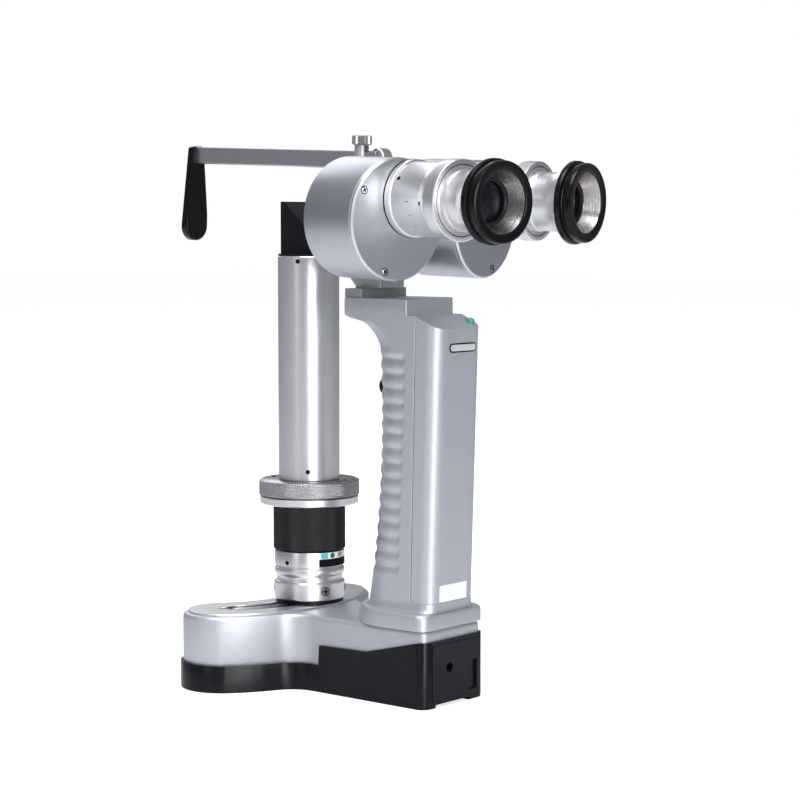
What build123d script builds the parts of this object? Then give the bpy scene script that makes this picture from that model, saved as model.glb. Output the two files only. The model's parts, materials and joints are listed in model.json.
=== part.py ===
"""Hand-held slit lamp: a pistol-grip binocular microscope with a swinging slit-illumination column.

Frame: +Z up, +Y from the observer towards the patient, X = 0 the plane of symmetry.
Origin: centre of the foot on the resting plane.  Millimetres.
"""
from build123d import *
import math
import os

os.makedirs("parts", exist_ok=True)

# ---------------------------------------------------------------- driving dimensions
GAP = 0.05                      # running clearance between pieces that move on each other

# base
SWING_Y = 131.0                 # the patient's eye: the column swings about this vertical axis
SWING_RADIUS = 57.8             # axis of the column to the swing axis
BAND_HALF = 19.1                # half width of the curved band, metal part
BAND_ANGLE = 42.1               # lobes of the band, each side of the symmetry plane
FOOT_HALF = 21.3                # half width of the foot, metal part
FOOT_HALF_REAR = 21.2
FOOT_REAR = -21.4               # rear face of the casting
FOOT_CREASE = 13.0              # where the foot's sides start to taper
CASTING_LOW = 10.0
CASTING_TOP = 36.0
CASTING_WALL = 2.6
CASTING_ROOF = 4.0
CASTING_EDGE = 2.2              # rounding of the top edge
PLATE_TOP = 37.0
COVER_SKIN = 1.3                # how far the bottom cover stands out from the casting
COVER_BAND_TOP = 12.9
COVER_FOOT_TOP = 22.4
COVER_REAR_TOP = 30.8
COVER_STEP_Y = 41.3             # the cover's rim steps down here
SLOT_HALF_ANGLE = 34.0
SLOT_WIDTH = 13.2
NECK_FILLET = 16.0              # where the band flows into the foot
HIGH = 60.0                     # taller than anything in the base, for cuts that go right through

# column
REST_SWING = 6.65               # the arm rests this far round from the symmetry plane
RING_R = 17.0
SLEEVE_R = 17.6
FLANGE_R = 24.4
TUBE_R = 14.8
TUBE_BORE = 13.5
CORE_R = 12.0
CORE_BORE = 10.6
POST_BORE = 3.2
POST_SHANK = 6.0
Z_POST = 37.2                   # flange of the post, just above the track plate
Z_FOOT = 38.6                   # underside of the ring at the column's foot
Z_CORE = 40.3
Z_SOCKET = 46.0
Z_LAMP = 54.0
Z_INDEX = 54.8                  # bottom of the index ring
Z_SLEEVE = 62.3
Z_CONDENSER = 62.0
Z_WHEEL = 72.0
Z_DISC = 84.9
Z_FLANGE = 88.7
Z_TUBE = 96.6
Z_PROJECTION = 150.0
Z_CAP = 204.7
Z_MIRROR = 205.7
Z_TOP = 230.7
WHEEL_OFFSET = 5.5              # filter wheel's pin from the column's axis
WHEEL_R = 10.5
WHEEL_THICK = 1.8
FILTER_R = 2.9
BLADE_LENGTH = 14.0
BLADE_WIDTH = 12.0
BLADE_THICK = 0.8

# handle
GRIP_R = 17.1                   # the grip's half width and the radius of its round front
PEDESTAL_TOP = 43.6
PEDESTAL_REAR = -20.2
PLATFORM_LOW = 179.4
PLATFORM_TOP = 186.2
PLATFORM_REAR = -7.4
PLATFORM_FRONT = 30.4
COVER_HIGH = 178.6              # the battery cover's top slopes from the seam...
COVER_LOW = 173.6               # ...down to its rear face
LAMP_X = 14.0
LAMP_Y = -18.4
LAMP_R = 1.9
LAMP_DOME = 1.6                 # how far the charge lamp stands out
BUTTON_Z = 144.8
BUTTON_R = 4.1
BUTTON_TIP = 20.6
GROOVES = 15
GROOVE_PITCH = 6.89
GROOVE_LOW_Z = 66.2
GROOVE_HEIGHT = 3.2
GROOVE_DEPTH = 0.9
PEDESTAL_R = 21.0               # half width of the flange and the radius of its round front
PEDESTAL_FRONT_Y = 7.0          # centre of that round front
SHELL = 2.8                     # the grip's wall
REAR_LEAN = 0.0211              # lean of the battery cover's rear face, mm per mm
PLATE_X = 4.5                   # middle of the name plate
PLATE_Z = 164.2
PLATE_WIDTH = 19.6
PLATE_HEIGHT = 4.2
CELL_Y = 0.5
CELL_R = 9.1
CELL_LOW = 52.0
CELL_LENGTH = 65.0
BOARD_Z = 145.0

# head
HEAD_PITCH = 2.13               # the observer's end dips by this angle
HEAD_ORIGIN = (0, -2.0, 190.0)
CONVERGENCE = 7.3               # half angle between the two eyepiece axes
DRUM_R = 27.5
DRUM_LENGTH = 33.0
DRUM_X = 32.0
DRUM_Y = -11.9                  # drum's rear face, in the head's own frame
DRUM_Z = 32.6
EYE_IN = 8.2                    # eyepiece axis from the drum axis, towards the middle
EYE_UP = 9.5
PIVOT_R = 10.0                  # objective barrel, which the drum turns on
BARREL_BORE = 8.2
BRIDGE_Y = 26.0                 # middle of the cross plate
BRIDGE_WIDTH = 76.0
BRIDGE_THICK = 7.2
BRIDGE_HALF = 12.0              # half its height
NECK_HALF = 8.6
COVER_PLATE = 1.95              # thickness of a drum's rear plate

# forehead bar
BAR_TOP = 62.7                  # in the head's frame
BAR_HEIGHT = 8.3
BAR_THICK = 3.0
BAR_REAR = 28.4
BAR_FRONT = 149.4
POST_Y = 38.2
POST_R = 3.35
BRACKET_TOP = 50.0
POST_TOP = 65.4
KNOB_X = 4.6
KNOB_Y = 33.2
KNOB_Z = 59.8
KNOB_R = 4.5
KNOB_STUD_R = 1.2
THUMB_R = 4.65
THUMB_HEIGHT = 4.4
THUMB_STUD_R = 1.45
PAD_Y = 145.2                   # rear face of the forehead pad
PAD_THICK = 4.0

# panel at the back of the foot
PANEL_Z = 16.0                  # middle of the panel
PANEL_WIDTH = 33.8
PANEL_HEIGHT = 25.8
PANEL_THICK = 1.5
JACK_X = -4.6
JACK_Z = 17.7
JACK_R = 1.75
JACK_BODY_R = 3.6
JACK_DEPTH = 8.0

# fasteners: radius and height of the head, radius and length of the shank
HANDLE_SCREW = (3.0, 1.8, 1.5, 10)
COVER_SCREW = (2.6, 1.3, 1.3, 9)
TRACK_SCREW = (2.2, 0.9, 1.15, 3.8)
BASE_SCREW = (1.75, 1.0, 0.9, 4)

# fastener positions
HANDLE_SCREWS = [(x, y) for x in (-13, 13) for y in (-14, 14)]
BASE_SCREW_ANGLES = (-118, -58, 62, 122)
BASE_SCREW_Z = 43.3
INDEX_HOLE = (-184, 57.0)
RING_SCREWS = [(x, y) for x in (-2.4, 2.4) for y in (-19.4, 19.4)]
TUBE_SET_SCREWS = [(-147, 101.2), (-165, 202.2)]

# mirror hood
MIRROR_HALF = 9.0
MIRROR_FRONT = 10.0
MIRROR_REAR = 12.8
MIRROR_SLOPE = 20.8             # the hood's slope drops by this much from front to back
HOOD_WALL = 1.4

# ---------------------------------------------------------------- shared planes
swing = math.radians(REST_SWING)
column_x = SWING_RADIUS * math.sin(swing)
column_y = SWING_Y - SWING_RADIUS * math.cos(swing)
column = Plane(origin=(column_x, column_y, 0), x_dir=(math.cos(swing), math.sin(swing), 0))
column_side = Plane(column.origin, x_dir=column.y_dir, z_dir=column.x_dir)

pitch = math.radians(HEAD_PITCH)
head = Plane(origin=HEAD_ORIGIN, x_dir=(1, 0, 0), z_dir=(0, -math.sin(pitch), math.cos(pitch)))
head_side = Plane(head.origin, x_dir=head.y_dir, z_dir=head.x_dir)

LEFT, RIGHT = -1, 1


def drum_plane(side):
    """Centre of one drum's rear face: local x to the right, y up, z out towards the observer."""
    turn = math.radians(CONVERGENCE) * side
    centre = head.from_local_coords(Vector(side * DRUM_X, DRUM_Y, DRUM_Z))
    across = head.x_dir * math.cos(turn) + head.y_dir * math.sin(turn)
    outward = head.x_dir * math.sin(turn) - head.y_dir * math.cos(turn)
    return Plane(centre, x_dir=across, z_dir=outward)


def eye_plane(side):
    """The same directions as the drum's plane, with its origin on the eyepiece's axis."""
    drum = drum_plane(side)
    centre = drum.from_local_coords(Vector(-side * EYE_IN, EYE_UP, 0))
    return Plane(centre, x_dir=drum.x_dir, z_dir=drum.z_dir)


def band_point(angle, radius=SWING_RADIUS):
    """A point at an angle round the swing axis, 0 being the symmetry plane."""
    turn = math.radians(angle)
    return (radius * math.sin(turn), SWING_Y - radius * math.cos(turn))


TRACK_SCREWS = [band_point(-BAND_ANGLE), band_point(BAND_ANGLE)]
COVER_SCREWS = [(-14, 0), (14, 0), band_point(-38), band_point(38)]


# ---------------------------------------------------------------- small shared shapes
def turned(plane, steps):
    """A body of revolution about a plane's z axis from (outer, inner, low, high) steps."""
    with BuildPart() as body:
        for outer, inner, low, high in steps:
            with BuildSketch(plane.offset(low)):
                Circle(outer)
                if inner:
                    Circle(inner, mode=Mode.SUBTRACT)
            extrude(amount=high - low)
    return body.part


def cross_screw(plane, head_r, head_h, shank_r, length):
    """A pan-head screw, its head standing on the plane and its shank below it."""
    with BuildPart() as screw:
        with BuildSketch(plane):
            Circle(head_r)
        extrude(amount=head_h)
        chamfer(screw.faces().sort_by(Axis(plane.origin, plane.z_dir))[-1].edges(), head_h * 0.35)
        with BuildSketch(plane):
            Circle(shank_r)
        extrude(amount=-length)
        with BuildSketch(plane.offset(head_h)):
            Rectangle(head_r * 1.2, head_r * 0.26)
            Rectangle(head_r * 0.26, head_r * 1.2)
        extrude(amount=-head_h * 0.7, mode=Mode.SUBTRACT)
    return screw.part


def group(solids):
    """Several identical solids kept as one piece."""
    return Compound(children=list(solids))


# ---------------------------------------------------------------- base
def base_outline(grow):
    """The band with its round lobes and the foot behind it, all grown outwards."""
    with BuildSketch() as outline:
        arc = CenterArc((0, SWING_Y), SWING_RADIUS, -90 - BAND_ANGLE, 2 * BAND_ANGLE, mode=Mode.PRIVATE)
        SlotArc(arc=arc, height=2 * (BAND_HALF + grow))
        with BuildLine():
            Polyline(
                (-FOOT_HALF - grow, SWING_Y - SWING_RADIUS),
                (-FOOT_HALF - grow, FOOT_CREASE),
                (-FOOT_HALF_REAR - grow, FOOT_REAR - grow),
                (FOOT_HALF_REAR + grow, FOOT_REAR - grow),
                (FOOT_HALF + grow, FOOT_CREASE),
                (FOOT_HALF + grow, SWING_Y - SWING_RADIUS),
                close=True,
            )
        make_face()
        neck = outline.vertices().filter_by_position(Axis.Y, 45, 70)
        neck = [v for v in neck if abs(v.X) > FOOT_HALF - 6 and abs(v.X) < FOOT_HALF + 6]
        fillet(neck, NECK_FILLET - grow)
        rear = outline.vertices().group_by(Axis.Y)[0]
        fillet(rear, 4 + grow)
    return outline.sketch


def slot_sketch(width, half_angle, plane):
    """An arc slot round the swing axis, drawn on a plane."""
    with BuildSketch(plane) as slot:
        arc = CenterArc((0, SWING_Y), SWING_RADIUS, -90 - half_angle, 2 * half_angle, mode=Mode.PRIVATE)
        SlotArc(arc=arc, height=width)
    return slot.sketch


def base_casting():
    """Hollow casting, open below, with the arc slot that the column's post runs in."""
    roof_low = CASTING_TOP - CASTING_ROOF
    with BuildPart() as casting:
        with BuildSketch(Plane.XY.offset(CASTING_LOW)):
            add(base_outline(0))
        extrude(amount=CASTING_TOP - CASTING_LOW)
        fillet(casting.faces().sort_by(Axis.Z)[-1].edges(), CASTING_EDGE)
        with BuildSketch(Plane.XY.offset(CASTING_LOW)):
            add(base_outline(-CASTING_WALL))
        extrude(amount=roof_low - CASTING_LOW, mode=Mode.SUBTRACT)
        add(slot_sketch(SLOT_WIDTH + 0.6, SLOT_HALF_ANGLE + 1, Plane.XY.offset(roof_low - 1)))
        extrude(amount=CASTING_ROOF + 2, mode=Mode.SUBTRACT)
        with BuildSketch(Plane.XY.offset(roof_low - 1)):
            with Locations(*HANDLE_SCREWS):
                Circle(HANDLE_SCREW[2] + 0.1)
            with Locations(*TRACK_SCREWS):
                Circle(TRACK_SCREW[2] + GAP)
        extrude(amount=CASTING_ROOF + 2, mode=Mode.SUBTRACT)
        with BuildSketch(Plane.XZ.offset(-FOOT_REAR + 1)):
            with Locations((0, PANEL_Z)):
                Rectangle(PANEL_WIDTH, PANEL_HEIGHT)
        extrude(amount=-(CASTING_WALL + 1), mode=Mode.SUBTRACT)
    return casting.part


def track_plate():
    """Thin plate on the band, with the arc slot and its countersunk screw holes."""
    with BuildPart() as plate:
        add(slot_sketch(2 * (BAND_HALF - CASTING_EDGE - 0.1), BAND_ANGLE, Plane.XY.offset(CASTING_TOP)))
        extrude(amount=PLATE_TOP - CASTING_TOP)
        chamfer(plate.faces().sort_by(Axis.Z)[-1].edges(), 0.3)
        add(slot_sketch(SLOT_WIDTH, SLOT_HALF_ANGLE, Plane.XY.offset(CASTING_TOP)))
        extrude(amount=PLATE_TOP - CASTING_TOP, mode=Mode.SUBTRACT)
        with BuildSketch(Plane.XY.offset(CASTING_TOP)):
            with Locations(*TRACK_SCREWS):
                Circle(TRACK_SCREW[0] + 0.1)
        extrude(amount=PLATE_TOP - CASTING_TOP, mode=Mode.SUBTRACT)
    return plate.part


def track_screws():
    """Two low screws that hold the track plate at the lobes."""
    return group(cross_screw(Plane((x, y, CASTING_TOP)), *TRACK_SCREW) for x, y in TRACK_SCREWS)


def bottom_cover():
    """Black tray that closes the base: its rim rises in a step and a slope towards the rear."""
    rim_end = 75
    floor = 2.4
    recess = 1.6
    with BuildPart() as cover:
        with BuildSketch():
            add(base_outline(COVER_SKIN))
        extrude(amount=COVER_REAR_TOP)
        with BuildSketch(Plane.YZ.offset(-rim_end)):
            with BuildLine():
                Polyline(
                    (-30, COVER_REAR_TOP),
                    (-19, COVER_REAR_TOP),
                    (FOOT_CREASE, COVER_FOOT_TOP + 0.6),
                    (COVER_STEP_Y, COVER_FOOT_TOP),
                    (COVER_STEP_Y + 0.5, COVER_BAND_TOP),
                    (200, COVER_BAND_TOP),
                    (200, HIGH),
                    (-30, HIGH),
                    close=True,
                )
            make_face()
        extrude(amount=2 * rim_end, mode=Mode.SUBTRACT)
        fillet(cover.faces().sort_by(Axis.Z)[0].edges(), 0.8)
        with BuildSketch(Plane.XY.offset(floor)):
            add(base_outline(-1.4))
        extrude(amount=HIGH, mode=Mode.SUBTRACT)
        with BuildSketch(Plane.XY.offset(CASTING_LOW - GAP)):
            add(base_outline(GAP))
        extrude(amount=HIGH, mode=Mode.SUBTRACT)
        with BuildSketch(Plane.XY):
            with Locations((-1.8, FOOT_REAR)):
                Rectangle(25, 8)
        extrude(amount=recess, mode=Mode.SUBTRACT)
        with BuildSketch(Plane.XY):
            with Locations(*COVER_SCREWS):
                Circle(COVER_SCREW[2] + 0.1)
        extrude(amount=floor + 0.6, mode=Mode.SUBTRACT)
        with BuildSketch(Plane.XY):
            with Locations(*COVER_SCREWS):
                Circle(COVER_SCREW[0] + 0.3)
        extrude(amount=recess, mode=Mode.SUBTRACT)
        with BuildSketch(Plane.XZ.offset(-FOOT_REAR + 10)):
            with Locations((0, PANEL_Z)):
                Rectangle(PANEL_WIDTH + 0.2, PANEL_HEIGHT + 0.2)
        extrude(amount=-14, mode=Mode.SUBTRACT)
    return cover.part


def cover_screws():
    """Four screws, heads down, in the bottom cover's recesses."""
    return group(
        cross_screw(Plane((x, y, 1.6), x_dir=(1, 0, 0), z_dir=(0, 0, -1)), *COVER_SCREW)
        for x, y in COVER_SCREWS
    )


def rear_cap():
    """Panel at the back of the foot with the charging jack's hole and a socket recess."""
    back = FOOT_REAR - COVER_SKIN - 0.3
    with BuildPart() as cap:
        with BuildSketch(Plane.XZ.offset(-back)):
            with Locations((0, PANEL_Z)):
                RectangleRounded(PANEL_WIDTH, PANEL_HEIGHT, 1.6)
        extrude(amount=-PANEL_THICK)
        with BuildSketch(Plane.XZ.offset(-back)):
            with Locations((JACK_X, JACK_Z)):
                Circle(JACK_R + 0.6)
        extrude(amount=-4, mode=Mode.SUBTRACT)
        with BuildSketch(Plane.XZ.offset(-back)):
            with Locations((12.2, 12)):
                RectangleRounded(6.6, 14, 0.8)
        extrude(amount=-1.1, mode=Mode.SUBTRACT)
    return cap.part


def charging_jack():
    """Barrel jack behind the rear panel."""
    back = FOOT_REAR - COVER_SKIN
    with BuildPart() as jack:
        with BuildSketch(Plane.XZ.offset(-back - 1.25)):
            with Locations((JACK_X, JACK_Z)):
                Circle(JACK_BODY_R)
        extrude(amount=-10.5)
        with BuildSketch(Plane.XZ.offset(-back - 1.25)):
            with Locations((JACK_X, JACK_Z)):
                Circle(JACK_R)
        extrude(amount=-JACK_DEPTH, mode=Mode.SUBTRACT)
    return jack.part


# ---------------------------------------------------------------- illumination column
def arm_post():
    """Flanged stud that rides in the arc slot and carries the column."""
    return turned(
        column,
        [
            (POST_SHANK, POST_BORE, 30.2, 44),
            (16.3, POST_BORE, Z_POST, Z_FOOT - 0.02),
            (9.5, POST_BORE, Z_FOOT - 0.02, Z_CORE - 0.1),
        ],
    )


def arm_nut():
    """Washer and nut under the base casting."""
    with BuildPart() as nut:
        with BuildSketch(column.offset(29.8)):
            Circle(11)
            Circle(POST_SHANK + 0.02, mode=Mode.SUBTRACT)
        extrude(amount=2.1)
        with BuildSketch(column.offset(25)):
            RegularPolygon(8.5, 6)
            Circle(POST_BORE, mode=Mode.SUBTRACT)
        extrude(amount=4.8)
        with BuildSketch(column.offset(29.8)):
            Circle(POST_SHANK + 0.02)
            Circle(POST_BORE, mode=Mode.SUBTRACT)
        extrude(amount=0.35)
    return nut.part


def arm_base():
    """Stepped ring at the foot of the column."""
    with BuildPart() as ring:
        with BuildSketch(column_side):
            with BuildLine():
                Polyline(
                    (CORE_R + GAP, Z_FOOT), (17.2, Z_FOOT), (17.2, 47.0), (16.8, 47.4),
                    (16, 47.4), (16, 50.6), (16.7, 50.6), (17.0, 50.9), (17.0, 53.7), (16.7, 54.0),
                    (16, 54.0), (16, Z_INDEX - 0.05), (CORE_R + GAP, Z_INDEX - 0.05), close=True,
                )
            make_face()
        revolve(axis=Axis(column.origin, column.z_dir))
        for angle in BASE_SCREW_ANGLES:
            with BuildSketch(radial_plane(angle, BASE_SCREW_Z, 17.4)):
                Circle(BASE_SCREW[0] + 0.15)
            extrude(amount=-1.2, mode=Mode.SUBTRACT)
            with BuildSketch(radial_plane(angle, BASE_SCREW_Z, 17.4)):
                Circle(BASE_SCREW[2] + GAP)
            extrude(amount=-6, mode=Mode.SUBTRACT)
    return ring.part


def radial_plane(angle, height, radius):
    """A plane facing outwards from the column's axis, at an angle from the column's own x."""
    turn = math.radians(angle)
    out = column.x_dir * math.cos(turn) + column.y_dir * math.sin(turn)
    return Plane(column.origin + out * radius + Vector(0, 0, height), x_dir=(0, 0, 1), z_dir=out)


def arm_base_screws():
    """Cross-head screws round the column's foot."""
    return group(
        cross_screw(radial_plane(angle, BASE_SCREW_Z, 16.2), *BASE_SCREW) for angle in BASE_SCREW_ANGLES
    )


def lamp_core():
    """Inner tube that joins the foot of the column to the slit housing, with a window for the wheel."""
    with BuildPart() as core:
        with BuildSketch(column.offset(Z_CORE)):
            Circle(CORE_R)
            Circle(CORE_BORE, mode=Mode.SUBTRACT)
        extrude(amount=Z_DISC - Z_CORE)
        with BuildSketch(column.offset(Z_WHEEL - 0.6)):
            with Locations((WHEEL_OFFSET, 0)):
                Circle(WHEEL_R + 0.6)
        extrude(amount=WHEEL_THICK + 1.4, mode=Mode.SUBTRACT)
        with BuildSketch(column.offset(Z_WHEEL - 1.8)):
            with Locations((WHEEL_OFFSET + 1.5, 0)):
                Rectangle(9, 3)
        extrude(amount=1.0)
        with BuildSketch(column.offset(Z_WHEEL - 1.8)):
            with Locations((WHEEL_OFFSET, 0)):
                Circle(0.8 - GAP)
        extrude(amount=4.0)
    return core.part


def index_ring():
    """Bright ring that carries the index label."""
    with BuildPart() as ring:
        with BuildSketch(column.offset(Z_INDEX)):
            Circle(RING_R)
            Circle(CORE_R + GAP, mode=Mode.SUBTRACT)
        extrude(amount=Z_SLEEVE - Z_INDEX - 0.1)
        chamfer(ring.edges().filter_by(GeomType.CIRCLE).sort_by(SortBy.RADIUS)[-2:], 0.3)
        with BuildSketch(radial_plane(*INDEX_HOLE, RING_R + 0.4)):
            Circle(0.9)
        extrude(amount=-4, mode=Mode.SUBTRACT)
    return ring.part


def polar(radius, angle):
    """A point from a radius and an angle in degrees."""
    turn = math.radians(angle)
    return (radius * math.cos(turn), radius * math.sin(turn))


def filter_sleeve():
    """Knurled sleeve that selects the filter; it runs on the core at both ends."""
    bore = WHEEL_OFFSET + WHEEL_R + 0.07
    high = Z_DISC - 0.1
    with BuildPart() as sleeve:
        with BuildSketch(column.offset(Z_SLEEVE)):
            Circle(SLEEVE_R)
            Circle(CORE_R + GAP, mode=Mode.SUBTRACT)
        extrude(amount=high - Z_SLEEVE)
        chamfer(sleeve.edges().filter_by(GeomType.CIRCLE).sort_by(SortBy.RADIUS)[-2:], 0.5)
        with BuildSketch(column.offset(Z_SLEEVE + 2.5)):
            Circle(bore)
        extrude(amount=high - Z_SLEEVE - 5, mode=Mode.SUBTRACT)
    return sleeve.part


def filter_wheel():
    """Wheel with an open aperture and three filter seats, driven by the sleeve's bore."""
    with BuildPart() as wheel:
        with BuildSketch(column.offset(Z_WHEEL)):
            with Locations((WHEEL_OFFSET, 0)):
                Circle(WHEEL_R)
                Circle(0.8, mode=Mode.SUBTRACT)
            with Locations((WHEEL_OFFSET, 0)):
                with PolarLocations(WHEEL_OFFSET, 4):
                    Circle(FILTER_R, mode=Mode.SUBTRACT)
        extrude(amount=WHEEL_THICK)
    return wheel.part


def filter_glasses():
    """Three round colour filters in the wheel."""
    with BuildPart() as glasses:
        with BuildSketch(column.offset(Z_WHEEL + 0.3)):
            for turn in (90, 0, 270):
                x, y = polar(WHEEL_OFFSET, turn)
                with Locations((WHEEL_OFFSET + x, y)):
                    Circle(FILTER_R - 0.02)
        extrude(amount=WHEEL_THICK - 0.6)
    return glasses.part


def lamp_socket():
    """Heat sink that holds the lamp in the core."""
    bore = 2
    flange, rib = Z_SOCKET + 4, Z_LAMP - 1.5
    return turned(
        column,
        [(CORE_BORE - 0.03, bore, Z_SOCKET, flange), (8, bore, flange, rib), (4.4, bore, rib, Z_LAMP)],
    )


def lamp():
    """White light-emitting lamp with its dome."""
    dome = 2.4
    dome_low = Z_LAMP + 1.0
    with BuildPart() as bulb:
        with BuildSketch(column.offset(Z_LAMP)):
            Rectangle(6, 6)
        extrude(amount=1.0)
        with BuildSketch(column_side):
            with BuildLine():
                Line((0, dome_low), (dome, dome_low))
                RadiusArc((dome, dome_low), (0, dome_low + dome), -dome)
                Line((0, dome_low + dome), (0, dome_low))
            make_face()
        revolve(axis=Axis(column.origin, column.z_dir))
    return bulb.part


def biconvex(plane, low, radius, rim, bulge):
    """A lens with two bulging faces, its rim starting at a height on a plane."""
    side = Plane(plane.origin, x_dir=plane.x_dir, z_dir=plane.y_dir * -1)
    high = low + rim
    steep = 1.2 * bulge / radius
    with BuildPart() as lens:
        with BuildSketch(side):
            with BuildLine():
                Line((radius, low), (radius, high))
                Spline((radius, high), (0, high + bulge), tangents=((-1, steep), (-1, 0)))
                Line((0, high + bulge), (0, low - bulge))
                Spline((0, low - bulge), (radius, low), tangents=((1, 0), (1, steep)))
            make_face()
        revolve(axis=Axis(plane.origin, plane.z_dir))
    return lens.part


def slit_housing():
    """Plain disc and hub: the blades slide inside it and the slit ring turns round its hub."""
    with BuildPart() as housing:
        with BuildSketch(column.offset(Z_DISC)):
            Circle(24)
        extrude(amount=Z_FLANGE - 0.1 - Z_DISC)
        chamfer(housing.edges().filter_by(GeomType.CIRCLE).sort_by(SortBy.RADIUS)[-2:], 0.4)
        with BuildSketch(column.offset(Z_FLANGE - 0.1)):
            Circle(TUBE_BORE - GAP)
        extrude(amount=Z_TUBE + 5 - Z_FLANGE + 0.1)
        with BuildSketch(column.offset(Z_DISC)):
            Circle(7)
        extrude(amount=40, mode=Mode.SUBTRACT)
        with BuildSketch(column.offset(Z_DISC + 1.2)):
            Rectangle(36, BLADE_WIDTH + 2 * GAP)
        extrude(amount=BLADE_THICK + 2 * GAP, mode=Mode.SUBTRACT)
    return housing.part


def slit_blade(side):
    """Thin blade whose straight edge forms one side of the slit."""
    with BuildPart() as blade:
        with BuildSketch(column.offset(Z_DISC + 1.25)):
            with Locations((side * (BLADE_LENGTH / 2 + 0.15), 0)):
                Rectangle(BLADE_LENGTH, BLADE_WIDTH)
        extrude(amount=BLADE_THICK)
    return blade.part


def slit_ring():
    """Knurled flange that sets the slit's width."""
    with BuildPart() as ring:
        with BuildSketch(column.offset(Z_FLANGE)):
            Circle(FLANGE_R)
            Circle(TUBE_BORE, mode=Mode.SUBTRACT)
        extrude(amount=Z_TUBE - GAP - Z_FLANGE)
        chamfer(ring.edges().filter_by(GeomType.CIRCLE).sort_by(SortBy.RADIUS)[-2:], 0.7)
        with BuildSketch(column.offset(Z_TUBE - GAP)):
            for x, y in RING_SCREWS:
                with Locations((x, y)):
                    Circle(1.35)
        extrude(amount=-3, mode=Mode.SUBTRACT)
    return ring.part


def lamp_tube():
    """Long tube that carries the beam up to the mirror."""
    with BuildPart() as tube:
        with BuildSketch(column.offset(Z_TUBE)):
            Circle(TUBE_R)
            Circle(TUBE_BORE, mode=Mode.SUBTRACT)
        extrude(amount=Z_CAP - Z_TUBE)
        chamfer(tube.edges().filter_by(GeomType.CIRCLE).sort_by(SortBy.RADIUS)[-2:], 0.3)
        for angle, height in TUBE_SET_SCREWS:
            with BuildSketch(radial_plane(angle, height, TUBE_R + 0.5)):
                Circle(0.9)
            extrude(amount=-2.5, mode=Mode.SUBTRACT)
    return tube.part


def projection_lens():
    """Lens that images the slit, held high in the tube."""
    return biconvex(column, Z_PROJECTION, TUBE_BORE - 0.02, 2.2, 1.8)


def condenser_lens():
    """Lens above the lamp."""
    return biconvex(column, Z_CONDENSER, CORE_BORE - 0.03, 1.6, 2.0)


def mirror_box():
    """Black plug in the tube with a sloping hood, open at its front, that holds the mirror."""
    low = Z_TOP - MIRROR_SLOPE
    with BuildPart() as box:
        with BuildSketch(column_side.offset(-MIRROR_HALF)):
            with BuildLine():
                Polyline(
                    (MIRROR_FRONT, Z_MIRROR), (MIRROR_FRONT, Z_TOP), (MIRROR_FRONT - 2, Z_TOP),
                    (-MIRROR_REAR, low), (-MIRROR_REAR, Z_MIRROR), close=True,
                )
            make_face()
        extrude(amount=2 * MIRROR_HALF)
        fillet(box.edges().filter_by(Axis.Z).sort_by(Axis(column.origin, column.y_dir))[:2], 1.5)
        with BuildSketch(column_side.offset(-MIRROR_HALF + HOOD_WALL)):
            with BuildLine():
                Polyline(
                    (MIRROR_FRONT + 1, Z_MIRROR - 1), (MIRROR_FRONT + 1, Z_TOP - 3),
                    (MIRROR_FRONT - 2.6, Z_TOP - 3), (HOOD_WALL - MIRROR_REAR, low - 1),
                    (HOOD_WALL - MIRROR_REAR, Z_MIRROR - 1), close=True,
                )
            make_face()
        extrude(amount=2 * (MIRROR_HALF - HOOD_WALL), mode=Mode.SUBTRACT)
        with BuildSketch(column.offset(Z_CAP + 0.02)):
            Circle(TUBE_R - 0.2)
        extrude(amount=Z_MIRROR - Z_CAP - 0.02)
        with BuildSketch(column.offset(Z_CAP - 3)):
            Circle(TUBE_BORE - 0.03)
        extrude(amount=3.1)
        with BuildSketch(column.offset(Z_CAP - 3)):
            Circle(7.5)
        extrude(amount=4, mode=Mode.SUBTRACT)
    return box.part


def mirror():
    """Front-silvered mirror under the hood's slope."""
    half = MIRROR_HALF - HOOD_WALL - 0.1
    low = Z_TOP - MIRROR_SLOPE - 0.9
    with BuildPart() as glass:
        with BuildSketch(column_side.offset(-half)):
            with BuildLine():
                Polyline(
                    (MIRROR_FRONT - 2.7, Z_TOP - 3.2), (-11.2, low),
                    (-10.2, low - 1), (MIRROR_FRONT - 1.7, Z_TOP - 4.2), close=True,
                )
            make_face()
        extrude(amount=2 * half)
    return glass.part


# ---------------------------------------------------------------- handle
def grip_centre(z):
    """Centre of the grip's round front: it swells forwards at the bottom and at the top."""
    return -0.9 + 0.00097 * (z - 134) ** 2


def seam_y(z):
    """The leaning joint between the grip and the battery cover."""
    return -12.7 + 0.0229 * (COVER_HIGH - z)


def back_y(z):
    """Rear face of the battery cover, which leans the same way."""
    return FOOT_REAR + REAR_LEAN * (173.2 - z)


def grip_section(z, shrink=0.0, rear=None):
    """D-shaped section of the grip at a height."""
    r = GRIP_R - shrink
    centre = grip_centre(z)
    start = seam_y(z) if rear is None else rear
    with BuildSketch(Plane.XY.offset(z)) as section:
        with BuildLine():
            Line((-r, start), (-r, centre))
            ThreePointArc((-r, centre), (0, centre + r), (r, centre))
            Line((r, centre), (r, start))
            Line((r, start), (-r, start))
        make_face()
    return section.sketch


def pedestal_sketch(plane, shrink=0.0):
    """Outline of the flange under the grip."""
    r = PEDESTAL_R - shrink
    rear = PEDESTAL_REAR + shrink
    front = PEDESTAL_FRONT_Y
    with BuildSketch(plane) as outline:
        with BuildLine():
            Line((-r + 0.6, rear), (-r, front))
            ThreePointArc((-r, front), (0, front + r), (r, front))
            Line((r, front), (r - 0.6, rear))
            Line((r - 0.6, rear), (-r + 0.6, rear))
        make_face()
    return outline.sketch


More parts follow.
